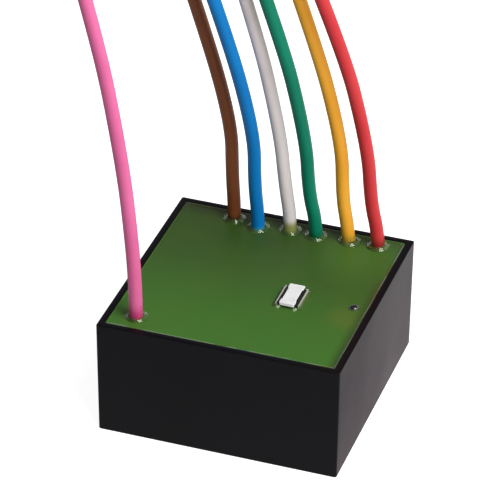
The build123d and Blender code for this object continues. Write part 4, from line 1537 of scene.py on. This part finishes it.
@dataclass
class SnapDome:
    """The sprung steel dome under the key, which gives way as the key comes down."""

    room: Room
    crown: float = 0.35 * MM
    thick: float = 0.06 * MM
    rim_thick: float = 0.1 * MM
    crown_inset: float = 0.03 * MM
    middle_hole: float = 0.02 * MM
    travel: float = 0.15 * MM

    def build(self, material: bpy.types.Material) -> bpy.types.Object:
        """Turn the dome's section, underside first, and give the piece a mesh of its own.

        Args:
            material: The dome's steel.

        Returns:
            The dome.
        """
        height = self.room.height
        rim = self.room.width / 2
        profile = np.array(
            [
                (self.middle_hole, height - self.thick),
                (self.crown - self.crown_inset, height - self.thick),
                (rim - self.rim_thick, 0),
                (rim, 0),
                (self.crown, height),
                (self.middle_hole, height),
            ]
        )
        foot = (*self.room.centre, self.room.low.z)
        piece = make_object("snap_dome", *turned(profile, foot), smooth=False)
        fitted(piece, material, "button_dome")
        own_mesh(piece)
        return piece


@dataclass
class Indicator:
    """The smoked lens, a bead that stands out of the board."""

    room: Room
    rise: float = 0.5 * MM
    resin_overlap: float = 0.01 * MM
    resin_climb: float = 0.09 * MM
    resin_reach: float = 0.32 * MM

    def lens(self, material: bpy.types.Material) -> bpy.types.Object:
        """The lens: a straight shank under half an ellipse.

        Args:
            material: Its smoked plastic.

        Returns:
            The lens.
        """
        radius = self.room.width / 2
        shoulder = self.room.high.z - self.rise
        angle = quarter_turn(20)[:-1]
        dome = np.stack([radius * np.cos(angle), shoulder + self.rise * np.sin(angle)], -1)
        profile = np.concatenate([[(radius, self.room.low.z)], dome])
        piece = make_object("lens_bead", *turned(profile, (*self.room.centre, 0), around=80))
        return fitted(piece, material, "indicator_lens")

    def resin(self, coat: ResinCoat, material: bpy.types.Material) -> bpy.types.Object:
        """The low ring of resin round the lens.

        Args:
            coat: The film that it rises from.
            material: Its material.

        Returns:
            The ring of resin.
        """
        outline = circle_outline(self.room.width / 2 - self.resin_overlap)
        climb = self.resin_climb * uneven(len(outline), seed=81, depth=0.3)
        reach = self.resin_reach * uneven(len(outline), seed=82, depth=0.2)
        shape = meniscus(outline, self.room.centre, coat.level(), climb, reach)
        return fitted(make_object("lens_meniscus", *shape), material)


@dataclass
class CadFinishes:
    """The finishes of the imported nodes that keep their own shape."""

    effects: Effects
    finishes: dict[Finish, tuple[str, ...]]

    def dress(self, nodes: dict[str, bpy.types.Object]) -> None:
        """Give each node's object its material.

        Args:
            nodes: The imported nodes' objects by name.
        """
        for finish, names in self.finishes.items():
            material = finish.material(self.effects)
            for name in names:
                mesh = nodes[name].data
                if not mesh.materials:
                    mesh.materials.append(material)
                for place in nodes[name].material_slots:
                    place.material = material
                log.info("%s: %s", name, material.name)


@dataclass(frozen=True)
class PhotoView:
    """The photograph's camera: a long lens above the front right of the box."""

    azimuth: float = radians(18.5712)
    elevation: float = radians(33.0494)
    roll: float = radians(0.5737)
    distance: float = 575.700 * MM
    target: Point = (-4.2449 * MM, 8.4449 * MM, 20 * MM)
    lens: float = 257.057
    sensor: float = 36.0

    def place(self) -> bpy.types.Object:
        """Make the camera and look through it.

        Returns:
            The camera's object.
        """
        level = cos(self.elevation)
        back = Vector((sin(self.azimuth) * level, -cos(self.azimuth) * level, sin(self.elevation)))
        right = Vector((0, 0, 1)).cross(back).normalized()
        up = back.cross(right)
        turned_right = right * cos(self.roll) + up * sin(self.roll)
        turned_up = up * cos(self.roll) - right * sin(self.roll)
        data = bpy.data.cameras.new("photo_view")
        data.lens = self.lens
        data.sensor_width = self.sensor
        data.clip_start = 0.01
        data.clip_end = 10
        camera = bpy.data.objects.new("photo_view", data)
        bpy.context.scene.collection.objects.link(camera)
        turn = Matrix((turned_right, turned_up, back)).transposed().to_4x4()
        camera.matrix_world = Matrix.Translation(Vector(self.target) + back * self.distance) @ turn
        bpy.context.scene.camera = camera
        return camera


@dataclass(frozen=True)
class Lamp:
    """A square soft lamp that faces the box: its side in metres and its power in watts."""

    name: str
    place: Point
    side: float
    power: float
    facing: Point = (0, 0, 20 * MM)

    def hang(self) -> bpy.types.Object:
        """Make the lamp and turn it to the box.

        Returns:
            The lamp's object.
        """
        data = bpy.data.lights.new(self.name, "AREA")
        data.size = self.side
        data.energy = self.power
        lamp = bpy.data.objects.new(self.name, data)
        bpy.context.scene.collection.objects.link(lamp)
        turn = (Vector(self.facing) - Vector(self.place)).to_track_quat("-Z", "Y")
        lamp.matrix_world = Matrix.Translation(self.place) @ turn.to_matrix().to_4x4()
        return lamp


@dataclass
class Studio:
    """A plain pale floor, a soft world, a key lamp at the front right and a wide one behind it."""

    floor_size: float = 6.0
    floor_colour: Colour = (0.62, 0.62, 0.62, 1.0)
    floor_white: float = 0.91
    floor_gloss: float = 0.2
    floor_gloss_rise: float = 0.32
    floor_gloss_band: Span = (-12 * MM, 40 * MM)
    ambient: float = 0.14
    ambient_right: float = 0.29
    right_band: Span = (0.1, 0.9)
    overhead_band: Span = (0.75, 0.98)
    skyline_band: Span = (0.48, 0.3)
    gloss_dark: float = 0.06
    gloss_low: float = 0.8
    gloss_overhead: float = 0.4
    gloss_right: float = 0.6
    lamps: tuple[Lamp, ...] = (
        Lamp("key_lamp", (0.35, -0.19, 0.48), 0.36, 3.8),
        Lamp("side_lamp", (0.62, 0.22, 0.3), 0.5, 0.7),
    )

    def floor(self) -> bpy.types.Object:
        """The floor, a flat sheet that is white to the camera and keeps a faint soft shadow.

        Returns:
            The floor.
        """
        half = self.floor_size / 2
        corners = np.array([(-half, -half, 0), (half, -half, 0), (half, half, 0), (-half, half, 0)])
        sheet = make_object("floor", corners, [np.array([[0, 1, 2, 3]])], smooth=False)
        material = bpy.data.materials.new("floor_paper")
        material.use_nodes = True
        tree = material.node_tree
        tree.nodes.clear()
        rays = tree.nodes.new("ShaderNodeLightPath").outputs
        place = tree.nodes.new("ShaderNodeTexCoord").outputs["Object"]
        further = ramp_node(tree, axes_node(tree, place)["Y"], *self.floor_gloss_band)
        gloss = math_node(tree, "MULTIPLY_ADD", further, self.floor_gloss_rise, self.floor_gloss)
        white = math_node(tree, "MULTIPLY", rays["Is Camera Ray"], self.floor_white)
        shown = math_node(tree, "MULTIPLY_ADD", rays["Is Glossy Ray"], gloss, white)
        paper = tree.nodes.new("ShaderNodeBsdfDiffuse")
        glow = tree.nodes.new("ShaderNodeEmission")
        both = tree.nodes.new("ShaderNodeAddShader")
        join(tree, self.floor_colour, paper.inputs["Color"])
        join(tree, shown, glow.inputs["Strength"])
        join(tree, paper.outputs[0], both.inputs[0])
        join(tree, glow.outputs[0], both.inputs[1])
        join(tree, both.outputs[0], tree.nodes.new("ShaderNodeOutputMaterial").inputs["Surface"])
        sheet.data.materials.append(material)
        return sheet

    def world(self) -> bpy.types.World:
        """White to the camera, softly brighter from the right, pale low down to reflections.

        Returns:
            The world.
        """
        world = bpy.data.worlds.new("studio")
        bpy.context.scene.world = world
        world.use_nodes = True
        tree = world.node_tree
        tree.nodes.clear()
        rays = tree.nodes.new("ShaderNodeLightPath").outputs
        way = axes_node(tree, tree.nodes.new("ShaderNodeTexCoord").outputs["Generated"])
        right = ramp_node(tree, way["X"], *self.right_band)
        overhead = ramp_node(tree, way["Z"], *self.overhead_band)
        skyline = ramp_node(tree, way["Z"], *self.skyline_band)
        glow = math_node(tree, "MULTIPLY_ADD", skyline, self.gloss_low, self.gloss_dark)
        glow = math_node(tree, "MULTIPLY_ADD", overhead, self.gloss_overhead, glow)
        glossy = math_node(tree, "MULTIPLY_ADD", right, self.gloss_right, glow)
        soft = math_node(tree, "MULTIPLY_ADD", right, self.ambient_right, self.ambient)
        not_glossy = math_node(tree, "SUBTRACT", 1.0, rays["Is Glossy Ray"])
        other = math_node(tree, "MULTIPLY", not_glossy, soft)
        seen = math_node(tree, "MULTIPLY_ADD", glossy, rays["Is Glossy Ray"], other)
        light = tree.nodes.new("ShaderNodeBackground")
        join(tree, (1.0, 1.0, 1.0, 1.0), light.inputs["Color"])
        join(tree, math_node(tree, "MAXIMUM", seen, rays["Is Camera Ray"]), light.inputs["Strength"])
        join(tree, light.outputs[0], tree.nodes.new("ShaderNodeOutputWorld").inputs["Surface"])
        return world

    def build(self) -> None:
        """Lay the floor, make the world and hang the lamps."""
        self.floor()
        self.world()
        for lamp in self.lamps:
            lamp.hang()


def receiver_leads() -> tuple[Lead, ...]:
    """The seven leads: the row at the back from left to right, then the antenna.

    Returns:
        The leads.
    """
    return (
        Lead(
            "brown_lead",
            "brown_insulation",
            (-9.75, 16.6),
            ((0, 0, 3), (-0.4, 0.05, 8.2), (-0.7, 0.3, 18.6), (-6.8, 0.8, 38.6), (-20.6, 1.5, 78.2)),
            (srgb(130, 72, 42), srgb(120, 64, 34), srgb(58, 42, 24)),
            climb_mm=1.8,
        ),
        Lead(
            "blue_lead",
            "blue_insulation",
            (-5.25, 15.3),
            ((0, 0, 3), (-0.6, -0.05, 8.2), (-0.7, -0.3, 18.6), (-6.1, -0.8, 38.6), (-20.2, -1.5, 78.3)),
            (srgb(0, 122, 194), srgb(0, 114, 186), srgb(20, 136, 182)),
            climb_mm=0.9,
            soak=0.4,
        ),
        Lead(
            "white_lead",
            "white_insulation",
            (-0.05, 16.3),
            ((0, 0, 3), (-0.9, 0.05, 8.2), (-2.1, 0.3, 18.6), (-7, 0.7, 38.6), (-20.5, 1.1, 78.3)),
            (srgb(238, 228, 228), srgb(230, 220, 220), srgb(150, 150, 84)),
            climb_mm=2.9,
            soak=0.4,
        ),
        Lead(
            "green_lead",
            "green_insulation",
            (4.45, 16.0),
            ((0, 0, 3), (-1.3, -0.05, 8.2), (-1.9, -0.3, 18.6), (-6.7, -0.8, 38.6), (-21.5, -1.5, 78.1)),
            (srgb(0, 126, 98), srgb(0, 118, 90), srgb(6, 92, 56)),
            climb_mm=2.0,
        ),
        Lead(
            "yellow_lead",
            "yellow_insulation",
            (9.95, 16.45),
            ((-0.3, 0, 3), (-1.3, 0.05, 8.2), (-1.7, 0.3, 18.6), (-7.6, 0.9, 38.6), (-23, 2.2, 77.6)),
            (srgb(248, 178, 56), srgb(242, 168, 46), srgb(166, 134, 40)),
            climb_mm=2.6,
        ),
        Lead(
            "red_lead",
            "red_insulation",
            (14.85, 16.55),
            ((-0.15, 0, 3), (-1.4, -0.05, 8.2), (-2.1, -0.3, 18.6), (-7.2, -0.8, 38.6), (-24.1, -1.5, 77.3)),
            (srgb(208, 58, 62), srgb(198, 48, 54), srgb(126, 38, 30)),
            climb_mm=2.6,
        ),
        Lead(
            "antenna_lead",
            "pink_insulation",
            (-14.9, -15.65),
            ((0, 0, 4.5), (-0.4, -0.1, 13), (-1.8, -0.2, 28), (-5.9, -0.5, 52), (-13.9, -0.9, 80.6)),
            (srgb(230, 112, 164), srgb(222, 102, 154), srgb(190, 48, 108)),
            climb_mm=3.4,
            soak=0.0,
        ),
    )


def plastic_finishes() -> dict[Finish, tuple[str, ...]]:
    """The moulded, cast, dipped and sintered finishes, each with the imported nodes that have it.

    Returns:
        The names of the nodes by finish.
    """
    resin = Moulded(
        "cast_resin", srgb(34, 34, 36), srgb(28, 28, 30), (0.4, 0.6), specular=0.4, grain=700.0, patches=40.0
    )
    laminate = Moulded(
        "board_laminate",
        srgb(50, 100, 42),
        srgb(40, 84, 34),
        (0.3, 0.42),
        grain=2400.0,
        patches=90.0,
        depth=0.006 * MM,
    )
    epoxy = Moulded(
        "package_epoxy",
        srgb(36, 36, 37),
        srgb(30, 30, 31),
        (0.45, 0.6),
        specular=0.4,
        grain=3000.0,
        patches=200.0,
    )
    ferrite = Moulded("ferrite", srgb(58, 58, 60), srgb(48, 48, 50), (0.5, 0.7), grain=2200.0, patches=300.0)
    ceramic = Moulded(
        "chip_ceramic", srgb(166, 136, 104), srgb(150, 120, 90), (0.4, 0.55), grain=3000.0, patches=400.0
    )
    return {
        resin: ("casting_resin",),
        laminate: ("control_board", "power_board"),
        Moulded("tray_plastic", srgb(22, 22, 22), srgb(28, 28, 28), (0.4, 0.5), specular=0.3): (
            "button_base",
        ),
        Moulded("lamp_plastic", srgb(226, 222, 188), srgb(214, 208, 170), (0.2, 0.3), coat=0.4): (
            "indicator_lamp",
        ),
        Moulded("film_box", srgb(176, 176, 172), srgb(164, 164, 158), (0.3, 0.4)): ("film_capacitor",),
        Moulded("varistor_dip", srgb(40, 84, 156), srgb(32, 70, 138), (0.22, 0.34), coat=0.5): ("varistor",),
        Moulded("resistor_cement", srgb(96, 132, 104), srgb(84, 118, 92), (0.5, 0.65)): ("fusible_resistor",),
        epoxy: (
            "bridge_rectifier",
            "supply_controller",
            "rectifier_diode",
            "voltage_regulator",
            "relay_drivers",
            "radio_chip",
            "processor_chip",
        ),
        Moulded("relay_plastic", srgb(38, 38, 40), srgb(32, 32, 34), (0.3, 0.42)): (
            "relay_bases",
            "relay_1_case",
            "relay_2_case",
        ),
        Moulded("former_plastic", srgb(216, 212, 200), srgb(204, 198, 184), (0.35, 0.5)): (
            "relay_coil_formers",
            "transformer_bobbin",
        ),
        ferrite: ("transformer_core",),
        Moulded("connector_plastic", srgb(30, 30, 31), srgb(25, 25, 26), (0.4, 0.5)): (
            "link_header",
            "link_socket",
        ),
        ceramic: ("chip_capacitors",),
        Moulded("chip_glaze", srgb(32, 33, 38), srgb(26, 26, 30), (0.25, 0.35)): ("chip_resistors",),
    }


def metal_finishes() -> dict[Finish, tuple[str, ...]]:
    """The metal finishes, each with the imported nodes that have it.

    Returns:
        The names of the nodes by finish.
    """
    frame_steel = Metal(
        "button_steel", srgb(212, 210, 200), srgb(190, 188, 176), Lay.ALONG_Y, (0.4, 0.55), metallic=0.3
    )
    return {
        frame_steel: ("button_frame",),
        Metal("tinned_tabs", srgb(206, 206, 202), srgb(178, 180, 170), Lay.ALONG_X, (0.25, 0.45)): (
            "button_terminals",
            "chip_terminals",
            "component_legs",
            "relay_1_terminals",
            "relay_2_terminals",
        ),
        Metal("copper_wire", srgb(214, 132, 92), srgb(190, 104, 66), Lay.ALONG_Z, (0.2, 0.34)): (
            "stripped_ends",
            "lead_cores",
        ),
        Metal("solder_tin", srgb(200, 202, 204), srgb(174, 176, 178), roughness=(0.16, 0.3)): (
            "lead_solder",
        ),
        Metal("can_aluminium", srgb(196, 198, 202), srgb(180, 182, 186), Lay.ALONG_Z): (
            "input_capacitor",
            "output_capacitor",
        ),
        Wound("lacquered_wire", srgb(190, 92, 46), srgb(92, 36, 18)): (
            "relay_windings",
            "transformer_winding",
        ),
        Metal("magnet_steel", srgb(176, 176, 174), srgb(156, 156, 154), Lay.ALONG_Y, (0.3, 0.5)): (
            "relay_cores",
            "relay_1_yoke",
            "relay_2_yoke",
            "relay_1_armature",
            "relay_2_armature",
        ),
        Metal("spring_bronze", srgb(206, 160, 104), srgb(188, 140, 84), Lay.ALONG_Y, (0.18, 0.32)): (
            "relay_1_contact_spring",
            "relay_2_contact_spring",
        ),
        Metal("gold_flash", srgb(226, 190, 112), srgb(206, 168, 92), Lay.ALONG_Z, (0.15, 0.28)): (
            "link_pins",
        ),
        Metal("crystal_lid", srgb(196, 196, 190), srgb(180, 180, 174), Lay.ALONG_X, (0.25, 0.4)): (
            "radio_crystal",
        ),
    }


def build_button(coat: ResinCoat, clear: bpy.types.Material, effects: Effects) -> None:
    """Build the push button with its snap dome, resin and solder.

    Args:
        coat: The film that it stands in.
        clear: The material of the resin drawn up it.
        effects: The shared effects.
    """
    white = Moulded(
        "key_plastic",
        srgb(244, 244, 245),
        srgb(234, 234, 235),
        (0.3, 0.42),
        grain=2600.0,
        patches=300.0,
        depth=0.004 * MM,
    )
    tinned = Moulded(
        "coated_solder",
        srgb(150, 176, 128),
        srgb(120, 152, 98),
        (0.12, 0.2),
        specular=0.6,
        grain=1800.0,
        patches=500.0,
        coat=1.0,
    )
    steel = Metal("dome_steel", srgb(198, 198, 192), srgb(170, 170, 160))
    button = PushButton(Room.of("button_frame"), Room.of("button_key"), Room.of("button_terminals"))
    button.key(white.material(effects))
    button.resin(coat, clear)
    button.solder(tinned.material(effects))
    SnapDome(Room.of("button_dome")).build(steel.material(effects))


def build_indicator(coat: ResinCoat, clear: bpy.types.Material, effects: Effects) -> None:
    """Build the indicator's lens and the resin round it.

    Args:
        coat: The film that it stands in.
        clear: The material of the resin drawn up it.
        effects: The shared effects.
    """
    smoked = Moulded(
        "lens_plastic", srgb(8, 8, 9), srgb(12, 12, 12), (0.06, 0.1), coat=1.0, coat_roughness=0.03
    )
    indicator = Indicator(Room.of("indicator_lens"))
    indicator.lens(smoked.material(effects))
    indicator.resin(coat, clear)


def main() -> None:
    """Build the view, the leads, the box, the coat, the button and the indicator, then dress the nodes."""
    logging.basicConfig(level=logging.INFO, format="%(name)s %(message)s")
    bpy.context.scene.view_settings.view_transform = "Standard"
    PhotoView().place()
    effects = Effects()
    board_top = Room.of("control_board").high.z
    coat = ResinCoat(board_top, Room.of("clear_coat"))
    leads = Leads(board_top, receiver_leads())
    leads.build(coat.level(), effects)
    Studio().build()

    tub = PottingBox(Room.of("potting_box"))
    tub.build(TubPlastic("box_plastic", tub.room.high.z).material(effects))

    clear = ClearResin().material(effects)
    coat.film(CoatedBoard().material(effects))
    coat.wall(CoatedBoard(name="coat_edge", coat=1.0, coat_roughness=0.06).material(effects))
    coat.collars(leads, clear)
    build_button(coat, clear, effects)
    build_indicator(coat, clear, effects)

    CadFinishes(effects, plastic_finishes() | metal_finishes()).dress(frame["nodes"])
    leads.cut_core(leads.leads[-1], bpy.data.materials["copper_wire"])


if __name__ == "__main__":
    main()
